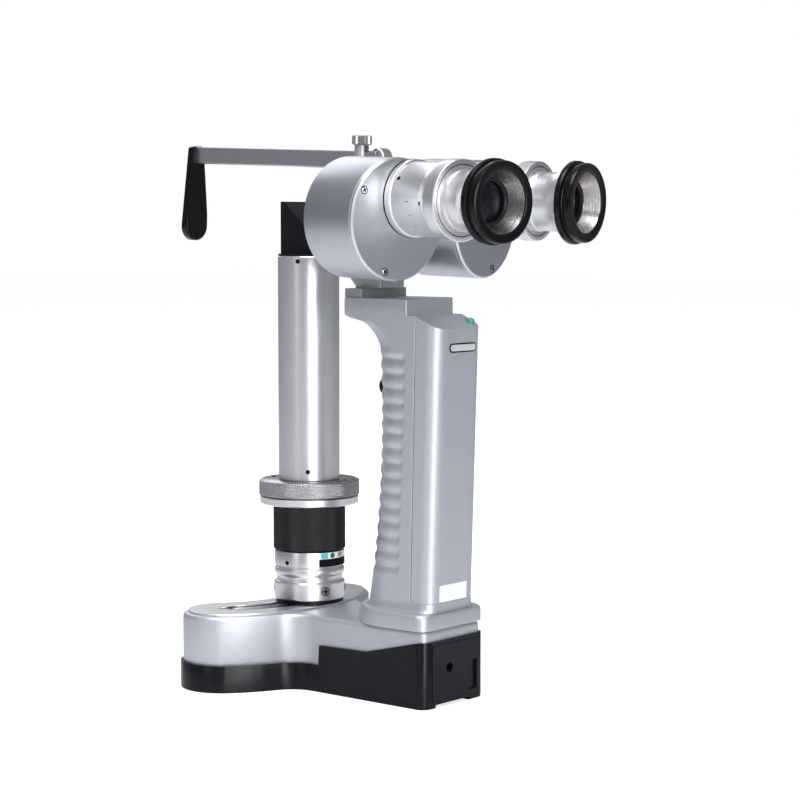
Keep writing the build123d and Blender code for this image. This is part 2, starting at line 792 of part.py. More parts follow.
def handle_grip():
    """Hollow grip: flange below, finger ridges round the front, platform for the head on top."""
    with BuildPart() as grip:
        add(pedestal_sketch(Plane.XY.offset(PLATE_TOP - 1.0)))
        extrude(amount=PEDESTAL_TOP - PLATE_TOP + 1.0)
        chamfer(grip.faces().sort_by(Axis.Z)[-1].edges(), 1.4)
        for z in (PEDESTAL_TOP - 1, 60, 93, 134, 160, PLATFORM_LOW):
            add(grip_section(z))
        loft()
        with BuildSketch(Plane.YZ.offset(-GRIP_R)):
            with BuildLine():
                Polyline(
                    (PLATFORM_REAR, PLATFORM_TOP), (PLATFORM_FRONT, PLATFORM_TOP), (PLATFORM_FRONT, 180.2),
                    (29.2, 178.2), (26.4, 176.9), (20.5, 174.7), (18.0, 172.8), (16.6, 168.5), (8, 160),
                    (PLATFORM_REAR, 160), close=True,
                )
            make_face()
        extrude(amount=2 * GRIP_R)
        for ridge in range(GROOVES - 1):
            low = GROOVE_LOW_Z + GROOVE_PITCH * (ridge + 0.5) - GROOVE_HEIGHT / 2
            groove = Plane.XY.offset(low)
            around = grip_section(low, -2, seam_y(low) + 6)
            kept = grip_section(low, GROOVE_DEPTH, seam_y(low) + 5)
            with BuildSketch(groove):
                add(groove.to_local_coords(around))
                add(groove.to_local_coords(kept), mode=Mode.SUBTRACT)
            extrude(amount=GROOVE_HEIGHT, mode=Mode.SUBTRACT)
        for z in (50, 93, 134, 171):
            add(grip_section(z, SHELL, -30))
        loft(mode=Mode.SUBTRACT)
        with BuildSketch(Plane.XZ.offset(-GRIP_R)):
            with Locations((0, BUTTON_Z)):
                Circle(BUTTON_R + GAP)
        extrude(amount=12, both=True, mode=Mode.SUBTRACT)
        with BuildSketch(Plane.XY.offset(CASTING_TOP)):
            with Locations(*HANDLE_SCREWS):
                Circle(HANDLE_SCREW[2] + 0.02)
        extrude(amount=6.5, mode=Mode.SUBTRACT)
    return grip.part


def battery_cover():
    """Rear shell of the handle with a sloping top."""
    low = PEDESTAL_TOP + 0.1
    wall = 2.2
    with BuildPart() as cover:
        with BuildSketch(Plane.YZ.offset(-GRIP_R + 0.1)):
            with BuildLine():
                Polyline(
                    (seam_y(low) - GAP, low), (seam_y(COVER_HIGH) - GAP, COVER_HIGH),
                    (back_y(COVER_LOW), COVER_LOW), (back_y(low), low), close=True,
                )
            make_face()
        extrude(amount=2 * GRIP_R - 0.2)
        back = cover.faces().sort_by(Axis.Y)[0]
        fillet(back.edges().sort_by(Axis.X)[:1] + back.edges().sort_by(Axis.X)[-1:], 4.5)
        with BuildSketch(Plane.YZ.offset(-GRIP_R + wall + 0.2)):
            with BuildLine():
                Polyline(
                    (seam_y(low) + 1, low + 2.5), (seam_y(174) + 1, 174), (back_y(170) + wall, 170.5),
                    (back_y(low) + wall, low + 2.5), close=True,
                )
            make_face()
        extrude(amount=2 * (GRIP_R - wall - 0.2), mode=Mode.SUBTRACT)
        with BuildSketch(lamp_plane().offset(1)):
            Circle(LAMP_R + GAP)
        extrude(amount=-7, mode=Mode.SUBTRACT)
    return cover.part


def lamp_plane():
    """Plane on the sloping top of the battery cover, for the charge lamp."""
    run = seam_y(COVER_HIGH) - back_y(COVER_LOW)
    slope = math.atan2(COVER_HIGH - COVER_LOW, run)
    lamp_z = COVER_HIGH + (LAMP_Y - seam_y(COVER_HIGH)) * math.tan(slope)
    return Plane((LAMP_X, LAMP_Y, lamp_z), x_dir=(1, 0, 0), z_dir=(0, -math.sin(slope), math.cos(slope)))


def indicator_lamp():
    """Small green charge lamp with a domed face."""
    with BuildPart() as light:
        with BuildSketch(lamp_plane().offset(-3)):
            Circle(LAMP_R)
        extrude(amount=3 + LAMP_DOME)
        fillet(light.faces().sort_by(Axis.Z)[-1].edges(), LAMP_DOME - 0.2)
    return light.part


def back_plane(z):
    """Plane on the rear face of the battery cover at a height, facing the observer."""
    lean = math.atan(REAR_LEAN)
    return Plane((0, back_y(z), z), x_dir=(1, 0, 0), z_dir=(0, -math.cos(lean), -math.sin(lean)))


def name_plate():
    """Blank oval plate on the battery cover."""
    with BuildPart() as plate:
        with BuildSketch(back_plane(PLATE_Z).offset(0.02)):
            with Locations((PLATE_X, 0)):
                SlotOverall(PLATE_WIDTH, PLATE_HEIGHT)
        extrude(amount=0.45)
        chamfer(plate.faces().sort_by(Axis.Y)[0].edges(), 0.2)
    return plate.part


def battery_cell():
    """One rechargeable cell standing in the grip."""
    with BuildPart() as cell:
        with BuildSketch(Plane.XY.offset(CELL_LOW)):
            with Locations((0, CELL_Y)):
                Circle(CELL_R)
        extrude(amount=CELL_LENGTH)
        fillet(cell.edges().filter_by(GeomType.CIRCLE), 0.8)
        with BuildSketch(Plane.XY.offset(CELL_LOW + CELL_LENGTH)):
            with Locations((0, CELL_Y)):
                Circle(2.8)
        extrude(amount=1.2)
    return cell.part


def circuit_board():
    """Driver board behind the button."""
    with BuildPart() as board:
        with BuildSketch(Plane.XZ.offset(-4.0)):
            with Locations((0, BOARD_Z)):
                Rectangle(23, 44)
        extrude(amount=1.6)
        with BuildSketch(Plane.XZ.offset(-2.4)):
            with Locations((-5, BOARD_Z - 13), (6, BOARD_Z - 15), (0, BOARD_Z + 15)):
                Rectangle(6, 5)
        extrude(amount=1.5)
    return board.part


def power_button():
    """Domed push button that slides in the front of the grip."""
    with BuildPart() as button:
        with BuildSketch(Plane.XZ.offset(-BUTTON_TIP)):
            with Locations((0, BUTTON_Z)):
                Circle(BUTTON_R)
        extrude(amount=9)
        fillet(button.faces().sort_by(Axis.Y)[-1].edges(), 1.6)
        with BuildSketch(Plane.XZ.offset(-BUTTON_TIP + 9)):
            with Locations((0, BUTTON_Z)):
                Circle(5.2)
        extrude(amount=1.2)
        with BuildSketch(Plane.XZ.offset(-BUTTON_TIP + 10.2)):
            with Locations((0, BUTTON_Z)):
                Circle(1.5)
        extrude(amount=1.2)
    return button.part


def handle_screws():
    """Four screws from under the base casting up into the grip's flange."""
    seat = CASTING_TOP - CASTING_ROOF - GAP
    return group(
        cross_screw(Plane((x, y, seat), x_dir=(1, 0, 0), z_dir=(0, 0, -1)), *HANDLE_SCREW)
        for x, y in HANDLE_SCREWS
    )


# ---------------------------------------------------------------- head
def mount_plate():
    """Dark plate between the handle's platform and the head's neck."""
    with BuildPart() as plate:
        with BuildSketch(Plane.XY.offset(PLATFORM_TOP)):
            with Locations((0, 25.2)):
                RectangleRounded(32.5, 10.4, 0.6)
        extrude(amount=4.2)
    return plate.part


def head_bridge():
    """Neck and cross plate that carry both objective barrels."""
    low, high = DRUM_Z - BRIDGE_HALF, DRUM_Z + BRIDGE_HALF
    with BuildPart() as bridge:
        with BuildSketch(head_side.offset(-NECK_HALF)):
            with BuildLine():
                Polyline(
                    (17.2, -3), (32.5, -3), (32.5, 0.2), (40.5, 8.2), (40.5, 16), (32, low + 4),
                    (22.4, low + 4), (22.4, 10), (17.2, 10), close=True,
                )
            make_face()
        extrude(amount=2 * NECK_HALF)
        split(bisect_by=Plane.XY.offset(PLATFORM_TOP + 4.22), keep=Keep.TOP)
        with BuildSketch(head.offset(low)):
            with Locations((0, BRIDGE_Y)):
                Rectangle(BRIDGE_WIDTH, BRIDGE_THICK)
        extrude(amount=high - low)
        corners = bridge.edges().filter_by(Axis(head.origin, head.y_dir)).sort_by(Axis.X)
        fillet(corners[:2] + corners[-2:], 6)
        for side in (LEFT, RIGHT):
            with BuildSketch(drum_plane(side).offset(-20)):
                Circle(PIVOT_R)
            extrude(amount=-40, mode=Mode.SUBTRACT)
    return bridge.part


def objective_barrels():
    """Two barrels fixed in the bridge: they hold the objectives, and the drums turn on them."""
    step = (PIVOT_R - 0.02, BARREL_BORE, -47.5, -28.5)
    return group(turned(drum_plane(side), [step]) for side in (LEFT, RIGHT))


def objective_lenses():
    """One lens in each objective barrel."""
    return group(biconvex(drum_plane(side), -45.5, BARREL_BORE - GAP, 2.0, 1.4) for side in (LEFT, RIGHT))


def drum_shell(side):
    """Cup-shaped housing of one prism, turning on the objective barrel."""
    plane = drum_plane(side)
    with BuildPart() as shell:
        with BuildSketch(plane.offset(-DRUM_LENGTH)):
            Circle(DRUM_R)
        extrude(amount=DRUM_LENGTH - 2.0)
        front = shell.faces().sort_by(Axis(plane.origin, plane.z_dir))[0]
        chamfer(front.edges(), 0.8)
        with BuildSketch(plane.offset(-DRUM_LENGTH + 3.0)):
            Circle(DRUM_R - 2.2)
        extrude(amount=DRUM_LENGTH, mode=Mode.SUBTRACT)
        with BuildSketch(plane.offset(-DRUM_LENGTH)):
            Circle(PIVOT_R + GAP)
        extrude(amount=6, mode=Mode.SUBTRACT)
    return shell.part


def cover_screw_spots(side):
    """Angles of the cover's screws, mirrored between the two sides."""
    return [polar(24.2, angle if side == LEFT else 180 - angle) for angle in (148, 253, 358)]


def drum_cover(side):
    """Rear plate of a drum, with a bright chamfer round its edge."""
    plane = drum_plane(side)
    with BuildPart() as cover:
        with BuildSketch(plane.offset(-COVER_PLATE)):
            Circle(DRUM_R)
        extrude(amount=COVER_PLATE)
        chamfer(cover.faces().sort_by(Axis(plane.origin, plane.z_dir))[-1].edges(), 0.8)
        with BuildSketch(plane.offset(-COVER_PLATE)):
            with Locations((-side * EYE_IN, EYE_UP)):
                Circle(12.0)
        extrude(amount=3, mode=Mode.SUBTRACT)
        with BuildSketch(plane.offset(-1.0)):
            with Locations(*cover_screw_spots(side)):
                Circle(1.75)
        extrude(amount=2, mode=Mode.SUBTRACT)
    return cover.part


def prism(side):
    """Rhomboid prism that steps the beam from the objective's axis to the eyepiece's axis."""
    plane = drum_plane(side)
    along = math.atan2(EYE_UP, -side * EYE_IN)
    step = math.hypot(EYE_IN, EYE_UP)
    reach = plane.x_dir * math.cos(along) + plane.y_dir * math.sin(along)
    across = plane.z_dir.cross(reach)
    flat = Plane(plane.origin - across * 7.5, x_dir=reach, z_dir=across)
    with BuildPart() as block:
        with BuildSketch(flat):
            with BuildLine():
                Polyline((-7, 24), (8, 24), (8 + step - 1, 9), (step - 7, 9), close=True)
            make_face()
        extrude(amount=15)
    return block.part


def eyepiece_tube(side):
    """Fixed tube of the eyepiece with its base ring."""
    plane = eye_plane(side)
    with BuildPart() as tube:
        with BuildSketch(Plane(plane.origin, x_dir=plane.x_dir, z_dir=-plane.y_dir)):
            with BuildLine():
                Polyline(
                    (14.0, 0.02), (17.4, 0.02), (17.4, 3.4), (16.6, 4.1), (16.6, 21.5), (18.0, 25.6),
                    (18.0, 25.9), (14.0, 25.9), close=True,
                )
            make_face()
        revolve(axis=Axis(plane.origin, plane.z_dir))
        for angle, reach in tube_hole_spots(side):
            with BuildSketch(around_eye(side, angle, reach, 18.5)):
                Circle(0.8)
            extrude(amount=-3.3, mode=Mode.SUBTRACT)
    return tube.part


def tube_hole_spots(side):
    """Angles and distances of the small blind holes in the tube's side."""
    return [(148 if side == LEFT else 32, 6.0), (186 if side == LEFT else -6, 23.0)]


def around_eye(side, angle, reach, radius):
    """A plane facing outwards from an eyepiece's axis."""
    plane = eye_plane(side)
    turn = math.radians(angle)
    out = plane.x_dir * math.cos(turn) + plane.y_dir * math.sin(turn)
    return Plane(plane.origin + plane.z_dir * reach + out * radius, x_dir=plane.z_dir, z_dir=out)


def dioptre_ring(side):
    """Ring at the tube's mouth that turns to focus the eyepiece."""
    plane = eye_plane(side)
    with BuildPart() as ring:
        with BuildSketch(Plane(plane.origin, x_dir=plane.x_dir, z_dir=-plane.y_dir)):
            with BuildLine():
                Polyline((13.87, 26), (18.1, 26), (18.1, 31.7), (17.5, 32.3), (13.87, 32.3), close=True)
            make_face()
        revolve(axis=Axis(plane.origin, plane.z_dir))
    return ring.part


def eyepiece_barrel(side):
    """Inner barrel: it slides in the dioptre ring, flares to the eyecup and ends in a bright funnel."""
    plane = eye_plane(side)
    with BuildPart() as barrel:
        with BuildSketch(Plane(plane.origin, x_dir=plane.x_dir, z_dir=-plane.y_dir)):
            with BuildLine():
                Polyline(
                    (12.2, 8), (13.8, 8), (13.8, 34), (13.35, 34.6), (13.35, 41.5), (14.2, 44.8),
                    (15.9, 47.4), (16.1, 49.4), (14.5, 49.5), (14.5, 55.8), (13.6, 56.6), (10.0, 49.0),
                    (12.0, 47.2), (12.2, 44), close=True,
                )
            make_face()
        revolve(axis=Axis(plane.origin, plane.z_dir))
    return barrel.part


def eyecup(side):
    """Black eyecup: two flanges with a groove between them."""
    plane = eye_plane(side)
    with BuildPart() as cup:
        with BuildSketch(Plane(plane.origin, x_dir=plane.x_dir, z_dir=-plane.y_dir)):
            with BuildLine():
                Polyline(
                    (14.52, 49.52), (18.3, 49.52), (18.8, 50.0), (18.8, 52.1), (18.4, 52.6), (16.9, 52.9),
                    (16.9, 53.6), (17.5, 54.0), (17.95, 54.5), (17.95, 57.1), (17.45, 57.6), (14.1, 57.6),
                    (13.5, 57.2), (13.5, 56.85), (14.52, 55.95), close=True,
                )
            make_face()
        revolve(axis=Axis(plane.origin, plane.z_dir))
    return cup.part


def eye_lens(side):
    """Lens nearest the eye."""
    return biconvex(eye_plane(side), 45.2, 11.9, 1.8, 1.2)


# ---------------------------------------------------------------- forehead bar
def bar_bracket():
    """Bracket on the bridge with a slotted post for the bar and a cheek for the lock knob."""
    bridge_top = DRUM_Z + BRIDGE_HALF
    with BuildPart() as bracket:
        with BuildSketch(head.offset(bridge_top + 0.02)):
            with Locations((0, 32)):
                RectangleRounded(17, 19.4, 2)
        extrude(amount=BRACKET_TOP - bridge_top)
        with BuildSketch(head.offset(BRACKET_TOP)):
            with Locations((0, POST_Y)):
                Circle(POST_R)
        extrude(amount=POST_TOP - BRACKET_TOP)
        with BuildSketch(head.offset(BRACKET_TOP)):
            with Locations((3.1, KNOB_Y)):
                Rectangle(2.6, 5.6)
        extrude(amount=KNOB_Z + 3 - BRACKET_TOP)
        with BuildSketch(head.offset(BAR_TOP - BAR_HEIGHT - GAP)):
            with Locations((0, POST_Y)):
                Rectangle(BAR_THICK + 2 * GAP, 12)
        extrude(amount=20, mode=Mode.SUBTRACT)
        with BuildSketch(knob_plane()):
            Circle(KNOB_STUD_R + GAP)
        extrude(amount=-5, mode=Mode.SUBTRACT)
    return bracket.part


def knob_plane():
    """Plane across the lock knob's axis, facing right."""
    centre = head.from_local_coords(Vector(KNOB_X, KNOB_Y, KNOB_Z))
    return Plane(centre, x_dir=head.y_dir, z_dir=head.x_dir)


def lock_knob():
    """Side knob whose stud bears on the bar."""
    with BuildPart() as knob:
        with BuildSketch(knob_plane()):
            Circle(KNOB_R)
        extrude(amount=7.4)
        chamfer(knob.edges().filter_by(GeomType.CIRCLE), 0.6)
        with BuildSketch(knob_plane()):
            Circle(KNOB_STUD_R)
        extrude(amount=-3.0)
    return knob.part


def thumb_screw():
    """Knurled screw on top of the post."""
    with BuildPart() as screw:
        with BuildSketch(head.offset(POST_TOP + 0.1)):
            with Locations((0, POST_Y)):
                Circle(THUMB_R)
        extrude(amount=THUMB_HEIGHT)
        chamfer(screw.edges().filter_by(GeomType.CIRCLE), 0.4)
        with BuildSketch(head.offset(BAR_TOP + 0.1)):
            with Locations((0, POST_Y)):
                Circle(THUMB_STUD_R)
        extrude(amount=POST_TOP - BAR_TOP)
    return screw.part


def forehead_bar():
    """Flat bar that slides in the post."""
    length = BAR_FRONT - BAR_REAR
    with BuildPart() as bar:
        with BuildSketch(head.offset(BAR_TOP - BAR_HEIGHT)):
            with Locations((0, BAR_REAR + length / 2)):
                Rectangle(BAR_THICK, length)
        extrude(amount=BAR_HEIGHT)
        chamfer(bar.edges().filter_by(Axis(head.origin, head.y_dir)), 0.5)
    return bar.part


def forehead_pad():
    """Paddle that rests on the patient's forehead, slotted over the bar's end."""
    rear = head.from_local_coords(Vector(0, PAD_Y, 0))
    low, high = (7.3, 23.5), (3.4, 62.0)    # where the round ends start
    with BuildPart() as pad:
        with BuildSketch(Plane(rear, x_dir=head.x_dir, z_dir=head.y_dir * -1)):
            with BuildLine():
                Line((-low[0], low[1]), (-high[0], high[1]))
                ThreePointArc((-high[0], high[1]), (0, 63.3), high)
                Line(high, low)
                ThreePointArc(low, (0, 16.3), (-low[0], low[1]))
            make_face()
        extrude(amount=-PAD_THICK)
        fillet(pad.edges().filter_by(GeomType.CIRCLE).group_by(Axis.Z)[0], 1.0)
        with BuildSketch(head.offset(BAR_TOP - BAR_HEIGHT)):
            with Locations((0, PAD_Y + 2)):
                Rectangle(BAR_THICK, 8)
        extrude(amount=BAR_HEIGHT + 6, mode=Mode.SUBTRACT)
    return pad.part


# ---------------------------------------------------------------- the pieces
pieces = {
    "base_casting": base_casting(),
    "track_plate": track_plate(),
    "track_screws": track_screws(),
    "bottom_cover": bottom_cover(),
    "cover_screws": cover_screws(),
    "rear_cap": rear_cap(),
    "charging_jack": charging_jack(),
    "arm_post": arm_post(),
    "arm_nut": arm_nut(),
    "arm_base": arm_base(),
    "arm_base_screws": arm_base_screws(),
    "lamp_core": lamp_core(),
    "index_ring": index_ring(),
    "filter_sleeve": filter_sleeve(),
    "filter_wheel": filter_wheel(),
    "filter_glasses": filter_glasses(),
    "lamp_socket": lamp_socket(),
    "lamp": lamp(),
    "condenser_lens": condenser_lens(),
    "slit_housing": slit_housing(),
    "slit_blade_left": slit_blade(LEFT),
    "slit_blade_right": slit_blade(RIGHT),
    "slit_ring": slit_ring(),
    "lamp_tube": lamp_tube(),
    "projection_lens": projection_lens(),
    "mirror_box": mirror_box(),
    "mirror": mirror(),
    "handle_grip": handle_grip(),
    "battery_cover": battery_cover(),
    "indicator_lamp": indicator_lamp(),
    "name_plate": name_plate(),
    "battery_cell": battery_cell(),
    "circuit_board": circuit_board(),
    "power_button": power_button(),
    "handle_screws": handle_screws(),
    "mount_plate": mount_plate(),
    "head_bridge": head_bridge(),
    "objective_barrels": objective_barrels(),
    "objective_lenses": objective_lenses(),
    "bar_bracket": bar_bracket(),
    "lock_knob": lock_knob(),
    "thumb_screw": thumb_screw(),
    "forehead_bar": forehead_bar(),
    "forehead_pad": forehead_pad(),
}
for side, word in ((LEFT, "left"), (RIGHT, "right")):
    pieces[f"{word}_drum_shell"] = drum_shell(side)
    pieces[f"{word}_drum_cover"] = drum_cover(side)
    pieces[f"{word}_prism"] = prism(side)
    pieces[f"{word}_eyepiece_tube"] = eyepiece_tube(side)
    pieces[f"{word}_dioptre_ring"] = dioptre_ring(side)
    pieces[f"{word}_eyepiece_barrel"] = eyepiece_barrel(side)
    pieces[f"{word}_eyecup"] = eyecup(side)
    pieces[f"{word}_eye_lens"] = eye_lens(side)

for name, piece in pieces.items():
    piece.label = name
    export_step(piece, f"parts/{name}.step")
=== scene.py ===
"""Looks for the hand-held slit lamp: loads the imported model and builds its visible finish."""

import json
import math

import bmesh
import bpy
from mathutils import Matrix, Vector


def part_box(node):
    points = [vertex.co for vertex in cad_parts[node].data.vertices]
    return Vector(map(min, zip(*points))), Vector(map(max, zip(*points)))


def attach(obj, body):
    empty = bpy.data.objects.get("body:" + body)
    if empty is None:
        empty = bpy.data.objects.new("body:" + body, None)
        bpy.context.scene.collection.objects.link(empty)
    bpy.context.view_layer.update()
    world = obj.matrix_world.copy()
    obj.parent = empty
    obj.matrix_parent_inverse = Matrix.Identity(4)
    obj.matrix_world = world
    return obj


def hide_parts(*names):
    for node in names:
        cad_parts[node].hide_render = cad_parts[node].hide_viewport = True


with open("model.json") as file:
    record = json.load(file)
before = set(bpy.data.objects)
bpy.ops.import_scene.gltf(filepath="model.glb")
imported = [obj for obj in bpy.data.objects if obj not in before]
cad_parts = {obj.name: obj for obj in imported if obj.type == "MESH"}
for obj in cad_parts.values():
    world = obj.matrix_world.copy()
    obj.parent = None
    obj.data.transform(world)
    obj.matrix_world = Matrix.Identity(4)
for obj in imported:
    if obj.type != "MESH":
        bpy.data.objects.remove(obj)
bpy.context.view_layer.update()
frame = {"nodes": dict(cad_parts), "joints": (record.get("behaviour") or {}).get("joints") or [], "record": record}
MM = 0.001
NODES = frame["nodes"]
JOINTS = {joint["name"]: joint for joint in frame["joints"]}
LEFT, RIGHT = -1, 1
WORD = {LEFT: "left", RIGHT: "right"}


# ---------------------------------------------------------------- frames
def make_frame(origin, x, z):
    """A matrix from millimetres in a local frame to metres in the model's frame."""
    x, z = Vector(x).normalized(), Vector(z).normalized()
    y = z.cross(x)
    columns = [x * MM, y * MM, z * MM]
    matrix = Matrix.Identity(4)
    for i, column in enumerate(columns):
        for row in range(3):
            matrix[row][i] = column[row]
    for row in range(3):
        matrix[row][3] = origin[row]
    return matrix


def joint_axis(name):
    """Direction of a joint's axis."""
    return Vector(JOINTS[name]["axis"])


def joint_point(name):
    """A point on a joint's axis, in metres."""
    return Vector(JOINTS[name]["pos_m"])


WORLD = make_frame((0, 0, 0), (1, 0, 0), (0, 0, 1))
COLUMN_POINT = joint_point("slit_turn")
COLUMN = make_frame((COLUMN_POINT.x, COLUMN_POINT.y, 0), joint_axis("right_blade_slide"), (0, 0, 1))
HEAD_UP = joint_axis("bar_clamp_turn")
HEAD_FORWARD = joint_axis("bar_slide")
FOCUS_JOINT_OUT = 29.0          # the focus joint's point, out from the drum's rear face
DRUM_JOINT_IN = 16.0            # the drum joint's point, inside the drum's rear face


def eye_frame(side):
    """Eyepiece axis: origin level with the drum's rear face, z towards the observer, y up."""
    name = WORD[side] + "_focus_turn"
    out = joint_axis(name)
    return make_frame(joint_point(name) - out * FOCUS_JOINT_OUT * MM, HEAD_UP.cross(out), out)


def drum_frame(side):
    """Drum axis: origin at the centre of the drum's rear face."""
    name = WORD[side] + "_drum_turn"
    out = joint_axis(name)
    return make_frame(joint_point(name) + out * DRUM_JOINT_IN * MM, HEAD_UP.cross(out), out)


POST = make_frame(joint_point("bar_clamp_turn"), (1, 0, 0), HEAD_UP)


# ---------------------------------------------------------------- mesh helpers
SHARP_ANGLE = 30                # edges sharper than this are rounded
EDGE_SEGMENTS = 2
WELD_DISTANCE = 0.000002        # metres
KNURL_STEPS = 6                 # points across one knurl tooth
HEAD_POINTS = 48                # points round a screw head
CROSS_WIDE = 0.19               # as parts of a screw head's radius: half width of the cross,
CROSS_REACH = 0.72              # its reach,
HEAD_TOP = 0.84                 # and the radius of the head's flat top
SAME_POINT = 1e-7               # metres


def new_object(name, bm, body, look, smooth_angle=35):
    """Turns a bmesh in metres into a piece that rides on a body."""
    bmesh.ops.recalc_face_normals(bm, faces=bm.faces)
    mesh = bpy.data.meshes.new(name)
    bm.to_mesh(mesh)
    bm.free()
    mesh.shade_smooth()
    mesh.set_sharp_from_angle(angle=math.radians(smooth_angle))
    obj = bpy.data.objects.new(name, mesh)
    bpy.context.scene.collection.objects.link(obj)
    mesh.materials.append(look)
    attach(obj, body)
    return obj


def bevel(obj, width):
    """Rounds the sharp edges of a piece."""
    modifier = obj.modifiers.new("edge", "BEVEL")
    modifier.width = width * MM
    modifier.segments = EDGE_SEGMENTS
    modifier.limit_method = "ANGLE"
    modifier.angle_limit = math.radians(SHARP_ANGLE)
    modifier.harden_normals = True


def loft_rings(bm, rings, close_rows=False):
    """Skins closed rings of points and caps the ends, or joins them. Returns rows of vertices."""
    rows = [[bm.verts.new(point) for point in ring] for ring in rings]
    count = len(rows[0])
    pairs = list(zip(rows, rows[1:]))
    if close_rows:
        pairs.append((rows[-1], rows[0]))
    for low, high in pairs:
        for i in range(count):
            j = (i + 1) % count
            bm.faces.new((low[i], low[j], high[j], high[i]))
    if not close_rows:
        bm.faces.new(rows[0])
        bm.faces.new(rows[-1])
    return rows


def lathe(name, matrix, profile, body, look, count, edge=0.0):
    """A closed solid of revolution about a frame's z axis from (radius, height) points."""
    bm = bmesh.new()
    rings, along = [], [0.0]
    for radius, height in profile:
        ring = []
        for i in range(count):
            turn = 2 * math.pi * i / count
            ring.append(matrix @ Vector((radius * math.cos(turn), radius * math.sin(turn), height)))
        rings.append(ring)
    for (r0, h0), (r1, h1) in zip(profile, profile[1:]):
        along.append(along[-1] + math.hypot(r1 - r0, h1 - h0))
    rows = loft_rings(bm, rings, close_rows=True)
    places = {
        vert: (i / count, along[k])
        for k, row in enumerate(rows)
        for i, vert in enumerate(row)
    }
    uv = bm.loops.layers.uv.new("turning")
    for face in bm.faces:
        for loop in face.loops:
            loop[uv].uv = places[loop.vert]
    obj = new_object(name, bm, body, look)
    if edge:
        bevel(obj, edge)
    return obj


def stand_in(node):
    """The piece takes the place of a CAD node, which is hidden."""
    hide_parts(node)


def triangle(value):
    """A triangular wave between 0 and 1."""
    return abs(2 * (value - math.floor(value)) - 1)


def knurled(name, matrix, radius, bore, low, high, body, look, around, pitch, depth, rim,
            cross=True):
    """A ring with a band of crossed or straight knurling cut into its side."""
    bm = bmesh.new()
    count = around * KNURL_STEPS
    rows = max(2, int((high - low) / pitch * KNURL_STEPS))
    levels = [low + rim + (high - low - 2 * rim) * i / rows for i in range(rows + 1)]
    rings = []

    def ring(level, radius_at):
        points = []
        for i in range(count):
            turn = 2 * math.pi * i / count
            r = radius_at(i / KNURL_STEPS)
            points.append(matrix @ Vector((r * math.cos(turn), r * math.sin(turn), level)))
        return points

    rings.append(ring(low, lambda u: bore))
    rings.append(ring(low, lambda u: radius - rim - depth))
    for level in levels:
        v = (level - low) / pitch
        if cross:
            def groove(u):
                return 1 - min(triangle(u + v), triangle(u - v))
        else:
            groove = triangle
        rings.append(ring(level, lambda u: radius - depth * groove(u)))
    rings.append(ring(high, lambda u: radius - rim - depth))
    rings.append(ring(high, lambda u: bore))
    loft_rings(bm, rings, close_rows=True)
    return new_object(name, bm, body, look, 50)


def prism_piece(name, matrix, outline, low, high, body, look, edge=0.0):
    """A flat outline in a frame's xy plane pushed along z."""
    bm = bmesh.new()
    rings = [[matrix @ Vector((x, y, level)) for x, y in outline] for level in (low, high)]
    loft_rings(bm, rings)
    obj = new_object(name, bm, body, look)
    if edge:
        bevel(obj, edge)
    return obj


def turn_between(point, angle):
    """Smallest turn from a direction to a point's own direction."""
    return abs((math.atan2(point[1], point[0]) - angle + math.pi) % (2 * math.pi) - math.pi)


def cross_head(name, matrix, radius, height, body, look):
    """A pan-head screw top with a cut cross recess, its faces black: painted shade in the recess."""
    bm = bmesh.new()
    wide, arm = radius * CROSS_WIDE, radius * CROSS_REACH
    outline = [
        (wide, wide), (wide, arm), (-wide, arm), (-wide, wide), (-arm, wide), (-arm, -wide),
        (-wide, -wide), (-wide, -arm), (wide, -arm), (wide, -wide), (arm, -wide), (arm, wide),
    ]
    inner, outer = [], []
    for i in range(HEAD_POINTS):
        turn = 2 * math.pi * (i / HEAD_POINTS) + math.pi / 4
        angle = turn % (2 * math.pi)
        inner.append(min(outline, key=lambda point: turn_between(point, angle)))
        outer.append((math.cos(turn), math.sin(turn)))
    top = radius * HEAD_TOP
    rings = [
        [matrix @ Vector((radius * x, radius * y, 0)) for x, y in outer],
        [matrix @ Vector((radius * x, radius * y, height * 0.45)) for x, y in outer],
        [matrix @ Vector((top * x, top * y, height)) for x, y in outer],
        [matrix @ Vector((x, y, height)) for x, y in inner],
        [matrix @ Vector((x * 0.8, y * 0.8, height * 0.1)) for x, y in inner],
    ]
    loft_rings(bm, rings)
    bm.faces.ensure_lookup_table()
    # the recess's walls and floor take the black: painted shade
    for i in list(range(3 * HEAD_POINTS, 4 * HEAD_POINTS)) + [-1]:
        bm.faces[i].material_index = 1
    bmesh.ops.remove_doubles(bm, verts=bm.verts, dist=SAME_POINT)
    obj = new_object(name, bm, body, look, 30)
    obj.data.materials.append(INK_AND_SHADE_BLACK)
    return obj


# ---------------------------------------------------------------- materials
METAL_GRAIN = 2600              # features per metre
METAL_MOTTLE = 90
PLASTIC_GRAIN = 1800
RUBBER_GRAIN = 1200
PRINT_MOTTLE = 700
PAINT_FLAKES = 3600
TUBE_FLAKES = 3200
PAINT_METALLIC = 0.75
GRAIN_RELIEF = 0.0002           # metres
TURNING_RELIEF = 0.0003


def material(name):
    """A new node material: returns the material, its nodes, links and the main shader."""
    mat = bpy.data.materials.new(name)
    mat.use_nodes = True
    nodes, links = mat.node_tree.nodes, mat.node_tree.links
    return mat, nodes, links, nodes["Principled BSDF"]


def noise_node(nodes, links, scale, detail):
    """Noise on object coordinates, in features per metre."""
    coords = nodes.new("ShaderNodeTexCoord")
    noise = nodes.new("ShaderNodeTexNoise")
    noise.inputs["Scale"].default_value = scale
    noise.inputs["Detail"].default_value = detail
    links.new(coords.outputs["Object"], noise.inputs["Vector"])
    return noise


def bump_node(nodes, links, height, strength, distance):
    """Small relief from a height value."""
    bump = nodes.new("ShaderNodeBump")
    bump.inputs["Strength"].default_value = strength
    bump.inputs["Distance"].default_value = distance
    links.new(height, bump.inputs["Height"])
    return bump


